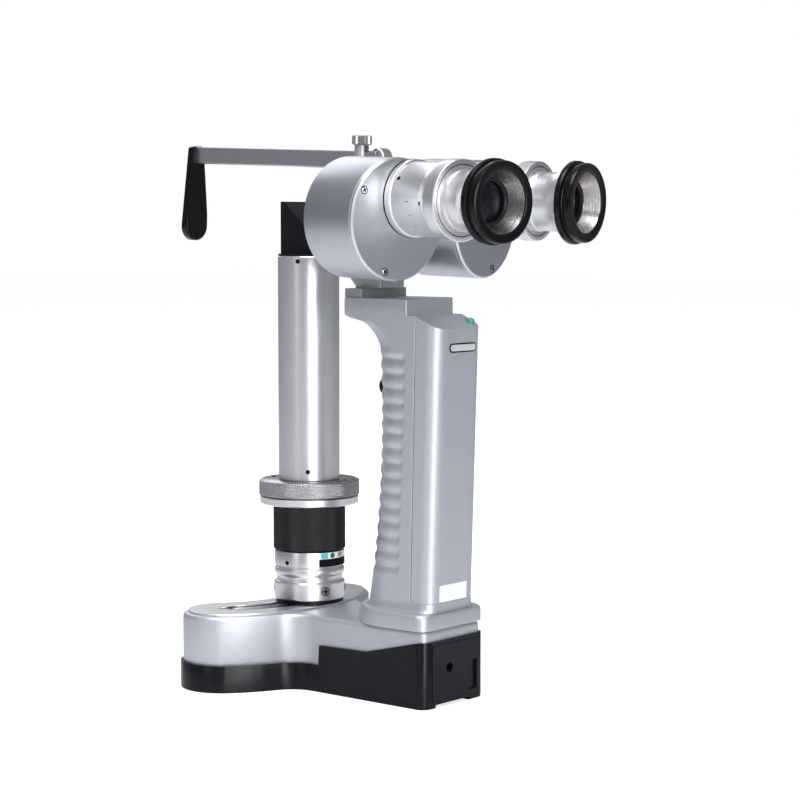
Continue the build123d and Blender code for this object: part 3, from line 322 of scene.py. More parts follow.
def ramp(nodes, links, value, low, high, low_colour, high_colour):
    """Maps a value to a colour between two stops."""
    node = nodes.new("ShaderNodeValToRGB")
    node.color_ramp.elements[0].position = low
    node.color_ramp.elements[1].position = high
    node.color_ramp.elements[0].color = (*low_colour, 1)
    node.color_ramp.elements[1].color = (*high_colour, 1)
    links.new(value, node.inputs["Fac"])
    return node


def flake_paint(name, colour, roughness, flake, sparkle):
    """Metallic paint: tiny tilted flakes in a silver coat."""
    mat, nodes, links, shader = material(name)
    coords = nodes.new("ShaderNodeTexCoord")
    cells = nodes.new("ShaderNodeTexVoronoi")
    cells.inputs["Scale"].default_value = flake
    links.new(coords.outputs["Object"], cells.inputs["Vector"])
    centre = nodes.new("ShaderNodeVectorMath")
    centre.operation = "SUBTRACT"
    centre.inputs[1].default_value = (0.5, 0.5, 0.5)
    links.new(cells.outputs["Color"], centre.inputs[0])
    scale = nodes.new("ShaderNodeVectorMath")
    scale.operation = "SCALE"
    scale.inputs["Scale"].default_value = sparkle
    links.new(centre.outputs[0], scale.inputs[0])
    geometry = nodes.new("ShaderNodeNewGeometry")
    tilt = nodes.new("ShaderNodeVectorMath")
    tilt.operation = "ADD"
    links.new(geometry.outputs["Normal"], tilt.inputs[0])
    links.new(scale.outputs[0], tilt.inputs[1])
    unit = nodes.new("ShaderNodeVectorMath")
    unit.operation = "NORMALIZE"
    links.new(tilt.outputs[0], unit.inputs[0])
    links.new(unit.outputs[0], shader.inputs["Normal"])
    separate = nodes.new("ShaderNodeSeparateColor")
    links.new(cells.outputs["Color"], separate.inputs[0])
    dark = tuple(c * 0.93 for c in colour)
    light = tuple(min(1, c * 1.05) for c in colour)
    tint = ramp(nodes, links, separate.outputs[0], 0.0, 1.0, dark, light)
    links.new(tint.outputs["Color"], shader.inputs["Base Color"])
    shader.inputs["Metallic"].default_value = PAINT_METALLIC
    shader.inputs["Roughness"].default_value = roughness
    return mat


def satin_metal(name, colour, roughness, strength, metallic=1.0, specular=0.5):
    """Turned or blasted metal with a fine uneven sheen."""
    mat, nodes, links, shader = material(name)
    fine = noise_node(nodes, links, METAL_GRAIN, 3.0)
    broad = noise_node(nodes, links, METAL_MOTTLE, 2.0)
    dark = tuple(c * 0.96 for c in colour)
    tint = ramp(nodes, links, broad.outputs["Fac"], 0.3, 0.7, dark, colour)
    links.new(tint.outputs["Color"], shader.inputs["Base Color"])
    sleek, coarse = (roughness * 0.85,) * 3, (roughness * 1.2,) * 3
    rough = ramp(nodes, links, fine.outputs["Fac"], 0.2, 0.8, sleek, coarse)
    links.new(rough.outputs["Color"], shader.inputs["Roughness"])
    bump = bump_node(nodes, links, fine.outputs["Fac"], strength, GRAIN_RELIEF)
    links.new(bump.outputs["Normal"], shader.inputs["Normal"])
    shader.inputs["Metallic"].default_value = metallic
    shader.inputs["Specular IOR Level"].default_value = specular
    return mat


def turned_metal(name, colour, roughness, marks=5.0, depth=0.12):
    """Lathe-turned metal: fine marks that run round the piece."""
    mat = satin_metal(name, colour, roughness, 0.03)
    nodes, links = mat.node_tree.nodes, mat.node_tree.links
    shader = nodes["Principled BSDF"]
    coords = nodes.new("ShaderNodeUVMap")
    mapping = nodes.new("ShaderNodeMapping")
    mapping.inputs["Scale"].default_value = (0.5, marks, 1)
    links.new(coords.outputs["UV"], mapping.inputs["Vector"])
    lines = nodes.new("ShaderNodeTexNoise")
    lines.inputs["Scale"].default_value = 1.0
    lines.inputs["Detail"].default_value = 4.0
    links.new(mapping.outputs["Vector"], lines.inputs["Vector"])
    bump = bump_node(nodes, links, lines.outputs["Fac"], depth, TURNING_RELIEF)
    links.new(bump.outputs["Normal"], shader.inputs["Normal"])
    return mat


def moulded(name, colour, roughness, grain, strength, specular):
    """Moulded plastic or rubber with a fine texture."""
    mat, nodes, links, shader = material(name)
    fine = noise_node(nodes, links, grain, 3.0)
    dark, light = tuple(c * 0.8 for c in colour), tuple(c * 1.2 for c in colour)
    tint = ramp(nodes, links, fine.outputs["Fac"], 0.3, 0.7, dark, light)
    links.new(tint.outputs["Color"], shader.inputs["Base Color"])
    bump = bump_node(nodes, links, fine.outputs["Fac"], strength, GRAIN_RELIEF)
    links.new(bump.outputs["Normal"], shader.inputs["Normal"])
    shader.inputs["Roughness"].default_value = roughness
    shader.inputs["Specular IOR Level"].default_value = specular
    return mat


def clear_glass(name, colour, alpha):
    """Coated glass in a tint that turns lighter at grazing angles, a painted sheen."""
    mat, nodes, links, shader = material(name)
    facing = nodes.new("ShaderNodeLayerWeight")
    facing.inputs["Blend"].default_value = 0.35
    # lighter tint towards grazing angles: painted sheen
    edge = tuple(min(1, c * 1.8 + 0.01) for c in colour)
    tint = ramp(nodes, links, facing.outputs["Facing"], 0.0, 1.0, colour, edge)
    links.new(tint.outputs["Color"], shader.inputs["Base Color"])
    shader.inputs["Roughness"].default_value = 0.03
    shader.inputs["Coat Weight"].default_value = 0.25
    shader.inputs["Specular IOR Level"].default_value = 0.3
    shader.inputs["Coat Tint"].default_value = (0.75, 0.7, 1.0, 1)
    shader.inputs["Alpha"].default_value = alpha
    return mat


def flat_tint(name, colour, roughness):
    """Printed or moulded colour with a slight mottle."""
    mat, nodes, links, shader = material(name)
    mottle = noise_node(nodes, links, PRINT_MOTTLE, 2.0)
    dark = tuple(c * 0.93 for c in colour)
    tint = ramp(nodes, links, mottle.outputs["Fac"], 0.2, 0.8, dark, colour)
    links.new(tint.outputs["Color"], shader.inputs["Base Color"])
    shader.inputs["Roughness"].default_value = roughness
    return mat


CAST_SILVER = flake_paint("cast_silver", (0.50, 0.515, 0.56), 0.47, PAINT_FLAKES, 0.11)
TUBE_SILVER = flake_paint("tube_silver", (0.57, 0.57, 0.59), 0.28, TUBE_FLAKES, 0.08)
DRUM_SILVER = satin_metal("drum_silver", (0.50, 0.51, 0.55), 0.38, 0.06)
EYE_SILVER = turned_metal("eye_silver", (0.71, 0.71, 0.715), 0.34)
# darker copy of the eyepiece's turned silver: painted shade inside the eyecup's cone
FUNNEL_SHADE_GREY = turned_metal("funnel_shade_grey", (0.40, 0.385, 0.375), 0.26, marks=3.0, depth=0.35)
# lighter than the drum's silver: painted highlight along the rim's chamfer
RIM_HIGHLIGHT_SILVER = satin_metal("rim_highlight_silver", (0.60, 0.60, 0.62), 0.32, 0.02)
RING_SILVER = turned_metal("ring_silver", (0.72, 0.72, 0.73), 0.30)
KNURL_GREY = satin_metal("knurl_grey", (0.36, 0.36, 0.36), 0.25, 0.10)
PLATE_SILVER = satin_metal("plate_silver", (0.70, 0.70, 0.72), 0.30, 0.05)
SCREW_STEEL = satin_metal("screw_steel", (0.50, 0.49, 0.46), 0.24, 0.03)
KNOB_GREY = satin_metal("knob_grey", (0.34, 0.34, 0.34), 0.28, 0.05)
KNURL_BLACK = satin_metal("knurl_black", (0.003, 0.003, 0.004), 0.16, 0.0, 0.0, 0.3)
DARK_STEEL = satin_metal("dark_steel", (0.12, 0.12, 0.125), 0.3, 0.03)
KNOB_LIGHT = satin_metal("knob_light", (0.62, 0.62, 0.61), 0.32, 0.05)
BLACK_METAL = satin_metal("black_metal", (0.008, 0.008, 0.012), 0.32, 0.06, 0.1, 0.15)
NECK_GREY = satin_metal("neck_grey", (0.42, 0.42, 0.43), 0.40, 0.08, metallic=0.7)
BAR_GREY = satin_metal("bar_grey", (0.50, 0.51, 0.53), 0.34, 0.06)
DARK_GREY = satin_metal("dark_grey", (0.25, 0.25, 0.255), 0.45, 0.10, metallic=0.3)
BLACK_PLASTIC = moulded("black_plastic", (0.004, 0.004, 0.007), 0.28, PLASTIC_GRAIN, 0.06, 0.20)
BLACK_RUBBER = moulded("black_rubber", (0.003, 0.003, 0.004), 0.26, RUBBER_GRAIN, 0.05, 0.20)
# near black: painted shade of the dark barrel seen through the lens
LENS_GLASS = clear_glass("lens_glass", (0.004, 0.0035, 0.005), alpha=0.8)
INNER_GLASS = clear_glass("inner_glass", (0.6, 0.7, 0.72), alpha=0.35)
FILTER_GLASS = clear_glass("filter_glass", (0.1, 0.3, 0.6), alpha=0.6)
MIRROR_FACE = satin_metal("mirror_face", (0.95, 0.95, 0.95), 0.03, 0.0)
GREEN_LAMP = flat_tint("green_lamp", (0.02, 0.32, 0.20), 0.2)
LED_WHITE = flat_tint("led_white", (0.95, 0.95, 0.80), 0.2)
CELL_WRAP = flat_tint("cell_wrap", (0.05, 0.20, 0.45), 0.3)
BOARD_GREEN = flat_tint("board_green", (0.02, 0.16, 0.07), 0.4)
LABEL_WHITE = flat_tint("label_white", (0.88, 0.90, 0.91), 0.45)
LABEL_SILVER = flat_tint("label_silver", (0.50, 0.51, 0.53), 0.4)
LABEL_CYAN = flat_tint("label_cyan", (0.09, 0.55, 0.62), 0.35)
LABEL_GREEN = flat_tint("label_green", (0.01, 0.14, 0.07), 0.35)
LABEL_GREY = flat_tint("label_grey", (0.30, 0.31, 0.32), 0.35)
# black for print, and painted shade in screw sockets, cross recesses, holes, the dioptre groove and the eyepiece
# joint
INK_AND_SHADE_BLACK = flat_tint("ink_and_shade_black", (0.008, 0.008, 0.009), 0.6)
# hardly any shine, so the painted shade stays black
INK_AND_SHADE_BLACK.node_tree.nodes["Principled BSDF"].inputs["Specular IOR Level"].default_value = 0.05

SLOT_LOOKS = {
    "casting": CAST_SILVER, "plate_silver": PLATE_SILVER, "black_plastic": BLACK_PLASTIC,
    "steel_screw": SCREW_STEEL, "satin_aluminium": RING_SILVER, "knurled_aluminium": KNURL_GREY,
    "black_anodised": BLACK_METAL, "black_knurl": BLACK_METAL, "tube_silver": TUBE_SILVER,
    "dark_grey": DARK_GREY, "glass": INNER_GLASS, "filter_glass": FILTER_GLASS,
    "mirror": MIRROR_FACE, "green_lamp": GREEN_LAMP, "led_white": LED_WHITE,
    "battery_wrap": CELL_WRAP, "circuit_green": BOARD_GREEN, "black_rubber": BLACK_RUBBER,
    "blade_steel": BLACK_METAL, "knob_grey": KNOB_GREY, "plate_white": LABEL_WHITE,
}


def set_look(name, look):
    """Gives one CAD node a finish of its own."""
    for material_slot in NODES[name].material_slots:
        material_slot.material = look


def dress_cad_nodes():
    """Every CAD node takes the finish of its material slot, and a few take one of their own."""
    slots = {part["node"]: part["material_slot"] for part in frame["record"]["subparts"]}
    for name, node in NODES.items():
        look = SLOT_LOOKS[slots[name]]
        if not node.material_slots:
            node.data.materials.append(look)
        for material_slot in node.material_slots:
            material_slot.material = look
    for word in WORD.values():
        set_look(f"{word}_eye_lens", LENS_GLASS)
    set_look("head_bridge", NECK_GREY)
    set_look("forehead_bar", BAR_GREY)
    set_look("bar_bracket", NECK_GREY)
    # black post: its flange shows as a thin black line under the foot ring, painted shadow under the ring
    set_look("arm_post", BLACK_METAL)


def ease_edges(name, width):
    """Joins the split corners of a CAD node's mesh and rounds its edges, by modifiers only."""
    node = NODES[name]
    weld = node.modifiers.new("weld", "WELD")
    weld.merge_threshold = WELD_DISTANCE
    bevel(node, width)


dress_cad_nodes()


# ---------------------------------------------------------------- handle grip
GRIP_R = 17.1                   # half width of the grip, and the radius of its round front
COVER_HALF = 16.98              # half width of the battery cover
SEAM_TOP_Z = 178.6
SEAM_TOP_Y = -12.7
SEAM_LEAN = 0.0229
COVER_LOW_Z = 172.8             # the top of the battery cover's rear face
COVER_REAR = -25.5              # its place there
REAR_LEAN = 0.0318
COVER_STEPS = 30                # rings of the cover's skin, and of its rounded lower corners
CORNER_STEPS = 12
COVER_FOOT_Z = 47.6             # the cover stands on a ledge behind the grip
FOOT_CORNER = 2.4               # the cover's lower corners at the joint
FLANGE_HALF = 23.2
FLANGE_FRONT = 28.3
FLANGE_REAR = -22.2
FLANGE_CORNER = 5.0
FLANGE_TAPER = 0.4              # how much narrower it is at the rear, each side
GRIP_LOW, GRIP_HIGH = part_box("handle_grip")
PLATFORM_FRONT = GRIP_HIGH.y / MM
PLATFORM_TOP = GRIP_HIGH.z / MM
PLATFORM_REAR = -7.4
FLANGE_TOP = 43.6
RIB_PITCH = 6.86
RIB_FIRST = 66.2
RIB_LAST = 162.24
RIB_DEPTH = 0.65
RIB_STEP = 0.42                 # spacing of the skin's rings: along the grip, foot and sweep
FOOT_STEP = 0.15
SWEEP_STEP = 0.35
FRONT_STEPS, REAR_STEPS = 48, 10
SIDE_STEPS = (24, 1, 24, 8)
COVER_R = 6.4                   # rear corners of the battery cover
JOINT_GAP = 0.3                 # the open joint between grip and cover
SEAM_R = 0.2                    # corners along the joint of grip and cover
LAMP_X, LAMP_Y = 13.0, -20.6
PLATE_PLACE = (1.6, 164.2)      # across and up the cover's rear face
STICKER_PLACE = (-0.7, 52.0)
# insets and heights of the flange's rings, below its top, and flare of the rings above it
FLANGE_EDGE = [(0, 2.2), (0.2, 1.3), (0.7, 0.6), (1.7, 0)]
LEDGE_FLARE = [(1.3, 0.03), (0.7, 0.5), (0.2, 1.6), (0.0, COVER_FOOT_Z - 0.05 - FLANGE_TOP)]
# height, front, corner radius of the sections where the grip sweeps out to the platform
SWEEP = [
    (164.5, 17.2, 17.1), (168.0, 19.05, 17.1), (171.4, 21.4, 16.0), (173.4, 22.7, 14.3),
    (175.0, 24.3, 12.0), (176.0, 26.2, 8.0), (177.0, 29.0, 4.0), (177.8, 30.0, 2.2),
    (178.6, PLATFORM_FRONT, 1.3),
]


def grip_centre(z):
    """Centre of the round front, which swells at both ends."""
    return -0.9 + 0.00097 * (z - 134) ** 2


def seam_y(z):
    """The leaning joint with the battery cover."""
    return SEAM_TOP_Y + SEAM_LEAN * (SEAM_TOP_Z - z)


def back_y(z):
    """Rear face of the battery cover."""
    return COVER_REAR + REAR_LEAN * (COVER_LOW_Z - z)


def joint_y(z):
    """The joint's place, rounded off where it meets the ledge."""
    drop = max(0.0, FOOT_CORNER - max(0.0, z - COVER_FOOT_Z))
    return seam_y(z) - FOOT_CORNER + math.sqrt(FOOT_CORNER ** 2 - drop ** 2)


def smooth(value, low, high):
    """0 below low, 1 above high, smooth between."""
    t = min(1.0, max(0.0, (value - low) / (high - low)))
    return t * t * (3 - 2 * t)


def sweep_at(z):
    """Front and corner radius of the grip's section at a height near the platform."""
    for (z0, y0, r0), (z1, y1, r1) in zip(SWEEP, SWEEP[1:]):
        if z <= z1:
            t = (z - z0) / (z1 - z0)
            return y0 + (y1 - y0) * t, r0 + (r1 - r0) * t
    return SWEEP[-1][1:]


def section(rear, front, front_r, rear_r, half, rear_half=None):
    """Points and outward directions of a round-cornered section, clockwise from its rear left."""
    rear_half = half if rear_half is None else rear_half
    corners = [
        (-rear_half + rear_r, rear + rear_r, rear_r, 270, 180, REAR_STEPS),
        (-half + front_r, front - front_r, front_r, 180, 90, FRONT_STEPS),
        (half - front_r, front - front_r, front_r, 90, 0, FRONT_STEPS),
        (rear_half - rear_r, rear + rear_r, rear_r, 0, -90, REAR_STEPS),
    ]
    points = []
    for i, (cx, cy, r, start, stop, steps) in enumerate(corners):
        for k in range(steps + 1):
            turn = math.radians(start + (stop - start) * k / steps)
            nx, ny = math.cos(turn), math.sin(turn)
            points.append((cx + r * nx, cy + r * ny, nx, ny))
        cx, cy, r, start = corners[(i + 1) % 4][:4]
        turn = math.radians(start)
        target = (cx + r * math.cos(turn), cy + r * math.sin(turn))
        here = points[-1]
        for k in range(1, SIDE_STEPS[i]):
            t = k / SIDE_STEPS[i]
            x = here[0] + (target[0] - here[0]) * t
            y = here[1] + (target[1] - here[1]) * t
            points.append((x, y, here[2], here[3]))
    return points


def ribbed(points, z):
    """Places a grip section at its height, with the finger ridges cut into its front."""
    wave = 0.0
    if RIB_FIRST - RIB_PITCH < z < RIB_LAST:
        wave = (0.5 - 0.5 * math.cos(2 * math.pi * (z - RIB_FIRST) / RIB_PITCH)) ** 1.4
    start = seam_y(z) + 5.0 + 1.6 * smooth(z, 140, 60)
    placed = []
    for x, y, nx, ny in points:
        cut = RIB_DEPTH * wave * smooth(y, start, start + 2.6)
        placed.append(WORLD @ Vector((x - nx * cut, y - ny * cut, z)))
    return placed


def level(points, z):
    """Places a plain section at its height."""
    return [WORLD @ Vector((x, y, z)) for x, y, _, _ in points]


def build_grip():
    """The whole grip in one skin: flange, ribbed grip and platform."""
    rings = []
    for inset, below in [(0, FLANGE_TOP - GRIP_LOW.z / MM)] + FLANGE_EDGE:
        half = FLANGE_HALF - inset
        rear, front = FLANGE_REAR + inset, FLANGE_FRONT - inset
        shape = section(rear, front, half, FLANGE_CORNER, half, half - FLANGE_TAPER)
        rings.append(level(shape, FLANGE_TOP - below))
    for grow, above in LEDGE_FLARE:
        z = FLANGE_TOP + above
        front = grip_centre(z) + GRIP_R + grow
        rear = back_y(z) - grow * 0.5
        rings.append(level(section(rear, front, GRIP_R + grow, COVER_R, GRIP_R + grow), z))
    z = COVER_FOOT_Z
    while z < SWEEP[0][0]:
        shape = section(joint_y(z), grip_centre(z) + GRIP_R, GRIP_R, SEAM_R, GRIP_R)
        rings.append(ribbed(shape, z))
        z += RIB_STEP if z > COVER_FOOT_Z + FOOT_CORNER else FOOT_STEP
    while z < SEAM_TOP_Z:
        front, corner = sweep_at(z)
        rings.append(level(section(seam_y(z), front, corner, SEAM_R, GRIP_R), z))
        z += SWEEP_STEP
    front, corner = SWEEP[-1][1:]
    rings.append(level(section(seam_y(SEAM_TOP_Z), front, corner, 0.5, GRIP_R), SEAM_TOP_Z))
    rings.append(level(section(PLATFORM_REAR - 0.3, front, corner, 0.5, GRIP_R), SEAM_TOP_Z + 0.05))
    rings.append(level(section(PLATFORM_REAR, front, corner, 0.5, GRIP_R), SEAM_TOP_Z + 0.5))
    for inset, z in ((0.0, PLATFORM_TOP - 0.5), (0.15, PLATFORM_TOP - 0.15), (0.5, PLATFORM_TOP)):
        shape = section(PLATFORM_REAR + inset, front - inset, corner, 0.5, GRIP_R - inset)
        rings.append(level(shape, z))
    bm = bmesh.new()
    loft_rings(bm, rings)
    grip = new_object("handle_grip_shell", bm, "base", CAST_SILVER, 32)
    stand_in("handle_grip")


def build_battery_cover():
    """Rear shell of the handle: round corners and a sloping top."""
    low = COVER_FOOT_Z + 0.05
    slope = (SEAM_TOP_Z - COVER_LOW_Z) / (seam_y(SEAM_TOP_Z) - back_y(COVER_LOW_Z))
    heights = [low + FOOT_CORNER * k / CORNER_STEPS for k in range(CORNER_STEPS)]
    straight = COVER_LOW_Z - low - FOOT_CORNER
    heights += [low + FOOT_CORNER + straight * k / COVER_STEPS for k in range(COVER_STEPS + 1)]
    rings = []
    for level_z in heights:
        t = (level_z - low) / (COVER_LOW_Z - low)
        ring = []
        shape = section(back_y(level_z), joint_y(level_z) - JOINT_GAP, SEAM_R, COVER_R, COVER_HALF)
        for x, y, _, _ in shape:
            lift = max(0.0, y - back_y(level_z)) * slope * smooth(t, 0.8, 1.0)
            ring.append(WORLD @ Vector((x, y, level_z + lift)))
        rings.append(ring)
    z = COVER_LOW_Z
    for inset, rise in ((0.12, 0.28), (0.5, 0.5), (1.2, 0.56)):
        ring = []
        front = seam_y(z) - JOINT_GAP - inset
        shape = section(back_y(z) + inset, front, SEAM_R, COVER_R - inset * 0.5, COVER_HALF - inset)
        for x, y, _, _ in shape:
            ring.append(WORLD @ Vector((x, y, z - 0.56 + rise + (y - back_y(z)) * slope)))
        rings.append(ring)
    bm = bmesh.new()
    loft_rings(bm, rings)
    cover = new_object("battery_cover_shell", bm, "base", CAST_SILVER, 40)
    stand_in("battery_cover")


def rounded_outline(width, height, radius, steps=8):
    """Outline of a rectangle with round corners, centred on the origin."""
    points = []
    for cx, cy, start in ((1, 1, 0), (-1, 1, 90), (-1, -1, 180), (1, -1, 270)):
        for k in range(steps + 1):
            turn = math.radians(start + 90 * k / steps)
            x = cx * (width / 2 - radius) + radius * math.cos(turn)
            y = cy * (height / 2 - radius) + radius * math.sin(turn)
            points.append((x, y))
    return points


def on_back(x, z):
    """A frame on the battery cover's rear face: z out of the face, y up."""
    lean = math.atan(REAR_LEAN)
    out = Vector((0, -math.cos(lean), -math.sin(lean)))
    return make_frame(Vector((x, back_y(z), z)) * MM, (1, 0, 0), out)


def build_handle_labels():
    """Blank foil plate with a dark border, blank sticker and the lamp's dome."""
    plate_frame = on_back(*PLATE_PLACE)
    outline = rounded_outline(19.2, 4.2, 2.05)
    border = prism_piece("name_plate_border", plate_frame, outline, 0.02, 0.3, "base", INK_AND_SHADE_BLACK)
    outline = rounded_outline(18.0, 3.0, 1.45)
    plate = prism_piece("name_plate_face", plate_frame, outline, 0.02, 0.42, "base",
                        LABEL_SILVER, 0.05)
    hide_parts("name_plate")
    slope = math.atan2(SEAM_TOP_Z - COVER_LOW_Z, seam_y(SEAM_TOP_Z) - back_y(COVER_LOW_Z))
    lamp_z = SEAM_TOP_Z - (seam_y(SEAM_TOP_Z) - LAMP_Y) * math.tan(slope)
    lamp_out = (0, -math.sin(slope), math.cos(slope))
    lamp_frame = make_frame(Vector((LAMP_X, LAMP_Y, lamp_z)) * MM, (1, 0, 0), lamp_out)
    dome = lathe("charge_lamp_dome", lamp_frame, [
        (0.01, -1.0), (1.9, -1.0), (1.9, 0.7), (1.8, 1.2), (1.5, 1.7), (1.05, 2.05), (0.5, 2.2),
        (0.01, 2.25),
    ], "base", GREEN_LAMP, 64)
    stand_in("indicator_lamp")
    sticker_frame = on_back(*STICKER_PLACE)
    outline = rounded_outline(19.7, 7.6, 0.5)
    prism_piece("rear_sticker", sticker_frame, outline, 0.0, 0.14, "base", LABEL_WHITE, 0.04)


build_grip()
build_battery_cover()
build_handle_labels()


# ---------------------------------------------------------------- column pieces
TUBE_R = 14.8
RING_R = 17.0                   # index ring
SLEEVE_R = 17.6
FLANGE_R = 24.4                 # slit flange
FOOT_SCREW_ANGLES = (-118, -58, 62, 122)
PATCH_STEPS = 48


def on_column(angle, radius, height):
    """A frame on the column's side: z outwards, y up."""
    turn = math.radians(angle)
    out = (COLUMN.to_3x3() @ Vector((math.cos(turn), math.sin(turn), 0))).normalized()
    origin = COLUMN @ Vector((radius * math.cos(turn), radius * math.sin(turn), height))
    return make_frame(origin, Vector((0, 0, 1)).cross(out), out)


def wrap_patch(name, thick, start, stop, low, high, look, oval=False):
    """A thin curved patch on the index ring between two angles."""
    bm = bmesh.new()
    middle = (high + low) / 2
    rings = []
    for i in range(PATCH_STEPS + 1):
        angle = math.radians(start + (stop - start) * i / PATCH_STEPS)
        half = (high - low) / 2
        if oval:
            across = 2 * i / PATCH_STEPS - 1
            half = half * math.sqrt(max(0.0, 1 - across * across)) + 0.01
        row = []
        outer = RING_R + thick
        for r, h in ((RING_R, -half), (outer, -half), (outer, half), (RING_R, half)):
            row.append(COLUMN @ Vector((r * math.cos(angle), r * math.sin(angle), middle + h)))
        rings.append(row)
    loft_rings(bm, rings)
    new_object(name, bm, "arm", look)


def screw(name, matrix, radius, body, proud, look=None):
    """A cross-head screw standing on a frame's xy plane, in a black socket disc: painted shade round its head."""
    wide = radius * 1.25
    # black disc a little wider than the head: painted shade of the socket
    socket = [(0.01, -0.3), (wide, -0.3), (wide, 0.05), (0.01, 0.05)]
    lathe(name + "_socket", matrix, socket, body, INK_AND_SHADE_BLACK, 48)
    return cross_head(name, matrix, radius, proud, body, look or SCREW_STEEL)


def dark_hole(name, matrix, radius, depth, body, count):
    """A black disc level with the surface in place of a hole: painted shade of the hole, and the set screw's own
    dark end where one sits in it.
    """
    outline = [(0.01, -depth), (radius, -depth), (radius, 0.05), (0.01, 0.09)]
    lathe(name, matrix, outline, body, INK_AND_SHADE_BLACK, count)


def build_sleeves():
    """The knurled filter sleeve, the knurled slit flange with its screws, and the disc under it."""
    low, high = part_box("filter_sleeve")
    sleeve_low, sleeve_high = low.z / MM, high.z / MM
    sleeve = knurled("filter_sleeve_knurl", COLUMN, SLEEVE_R, 12.1, sleeve_low, sleeve_high,
                     "filter_ring", KNURL_BLACK, 88, 2.1, 0.45, 0.8)
    stand_in("filter_sleeve")
    low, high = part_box("slit_ring")
    flange_low, flange_high = low.z / MM, high.z / MM
    ring = knurled("slit_ring_knurl", COLUMN, FLANGE_R, 13.6, flange_low, flange_high,
                   "slit_control", KNURL_GREY, 128, 1.2, 0.36, 0.7)
    stand_in("slit_ring")
    spots = [(x, y) for x in (-2.4, 2.4) for y in (-19.4, 19.4)]
    for i, (x, y) in enumerate(spots):
        spot = COLUMN @ Matrix.Translation(Vector((x, y, flange_high)))
        screw(f"slit_ring_screw_{i}", spot, 0.95, "slit_control", 0.5, DARK_STEEL)
    disc_low = sleeve_high + 0.1
    disc = lathe("slit_housing_disc", COLUMN, [
        (13.4, flange_low - 0.1), (13.4, flange_high + 2), (9, flange_high + 2), (9, disc_low),
        (23.3, disc_low), (23.8, disc_low + 0.5), (23.9, flange_low - 0.35),
        (23.6, flange_low - 0.1),
    ], "arm", RING_SILVER, 200, 0.12)
    stand_in("slit_housing")


def build_foot_rings():
    """The index ring and the ring at the column's foot, with the foot's four screws."""
    index = lathe("index_ring_turned", COLUMN, [
        (12.1, 54.8), (16.6, 54.8), (17.0, 55.1), (17.0, 61.7), (16.8, 62.15), (12.1, 62.15),
    ], "arm", RING_SILVER, 200, 0.1)
    stand_in("index_ring")
    # the ring starts above the post's black flange, which paints the shadow line under it
    foot = lathe("arm_base_turned", COLUMN, [
        (12.1, 38.62), (16.7, 38.62), (17.2, 39.1), (17.2, 46.6), (16.8, 47.2), (16.1, 47.4),
        (15.9, 48.0), (16.0, 50.0), (16.5, 50.7), (16.9, 51.1), (17.0, 51.6), (17.0, 53.0),
        (16.8, 53.6), (16.3, 53.95), (16.1, 54.3), (16.1, 54.7), (12.1, 54.7),
    ], "arm", RING_SILVER, 200, 0.12)
    stand_in("arm_base")
    for i, angle in enumerate(FOOT_SCREW_ANGLES):
        spot = on_column(angle, 17.15, 43.3)
        fastener = screw(f"arm_foot_screw_{i}", spot, 1.75, "arm", 0.35)
        stand_in("arm_base_screws")


def build_lamp_tube():
    """The tall tube and the dark set screws of the column."""
    low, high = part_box("lamp_tube")
    tube_low, tube_high = low.z / MM, high.z / MM
    tube = lathe("lamp_tube_skin", COLUMN, [
        (13.6, tube_low), (14.4, tube_low), (TUBE_R, tube_low + 0.4), (TUBE_R, tube_high - 0.5),
        (14.45, tube_high), (13.6, tube_high),
    ], "arm", TUBE_SILVER, 220, 0.06)
    stand_in("lamp_tube")
    # set screws in their holes as black discs: the dark screw with painted shade of the hole
    for i, (angle, height) in enumerate(((-147, 101.2), (-165, 202.2))):
        spot = on_column(angle, TUBE_R, height)
        dark_hole(f"tube_set_screw_{i}", spot, 1.1, 0.5, "arm", 40)
    # the index ring's set screw, a black disc: painted shade of its hole
    hole = on_column(-184, RING_R, 57.0)
    dark_hole("index_ring_set_screw", hole, 1.1, 0.5, "arm", 40)


def build_index_label():
    """The label round the index ring: a dark band with plain colour patches above it."""
    wrap_patch("index_label", 0.08, -127, -56, 58.9, 61.95, LABEL_WHITE)
    wrap_patch("index_label_band", 0.10, -128.5, -56, 55.25, 59.0, INK_AND_SHADE_BLACK)
    wrap_patch("index_label_cyan", 0.14, -125.5, -113, 59.2, 61.8, LABEL_CYAN)
    wrap_patch("index_label_green", 0.14, -108.6, -99.4, 59.3, 61.85, LABEL_GREEN, True)
    wrap_patch("index_label_grey", 0.14, -92, -79, 59.3, 61.85, LABEL_GREY, True)


build_sleeves()
build_foot_rings()
build_lamp_tube()
build_index_label()


# ---------------------------------------------------------------- drums and eyepieces
EYE_TUBE_R = 16.6
PLATE_SCREW_RING = 24.2
PLATE_SCREW_ANGLES = (148, 253, 358)


def mirrored(side, angle):
    """The same angle on the other side's drum, seen from behind."""
    return angle if side == LEFT else 180 - angle


def around(matrix, angle, radius, reach):
    """A frame on the side of a body of revolution: z outwards, y along its axis."""
    turn = math.radians(angle)
    basis = matrix.to_3x3()
    out = (basis @ Vector((math.cos(turn), math.sin(turn), 0))).normalized()
    along = (basis @ Vector((0, 0, 1))).normalized()
    origin = matrix @ Vector((radius * math.cos(turn), radius * math.sin(turn), reach))
    return make_frame(origin, along.cross(out), out)


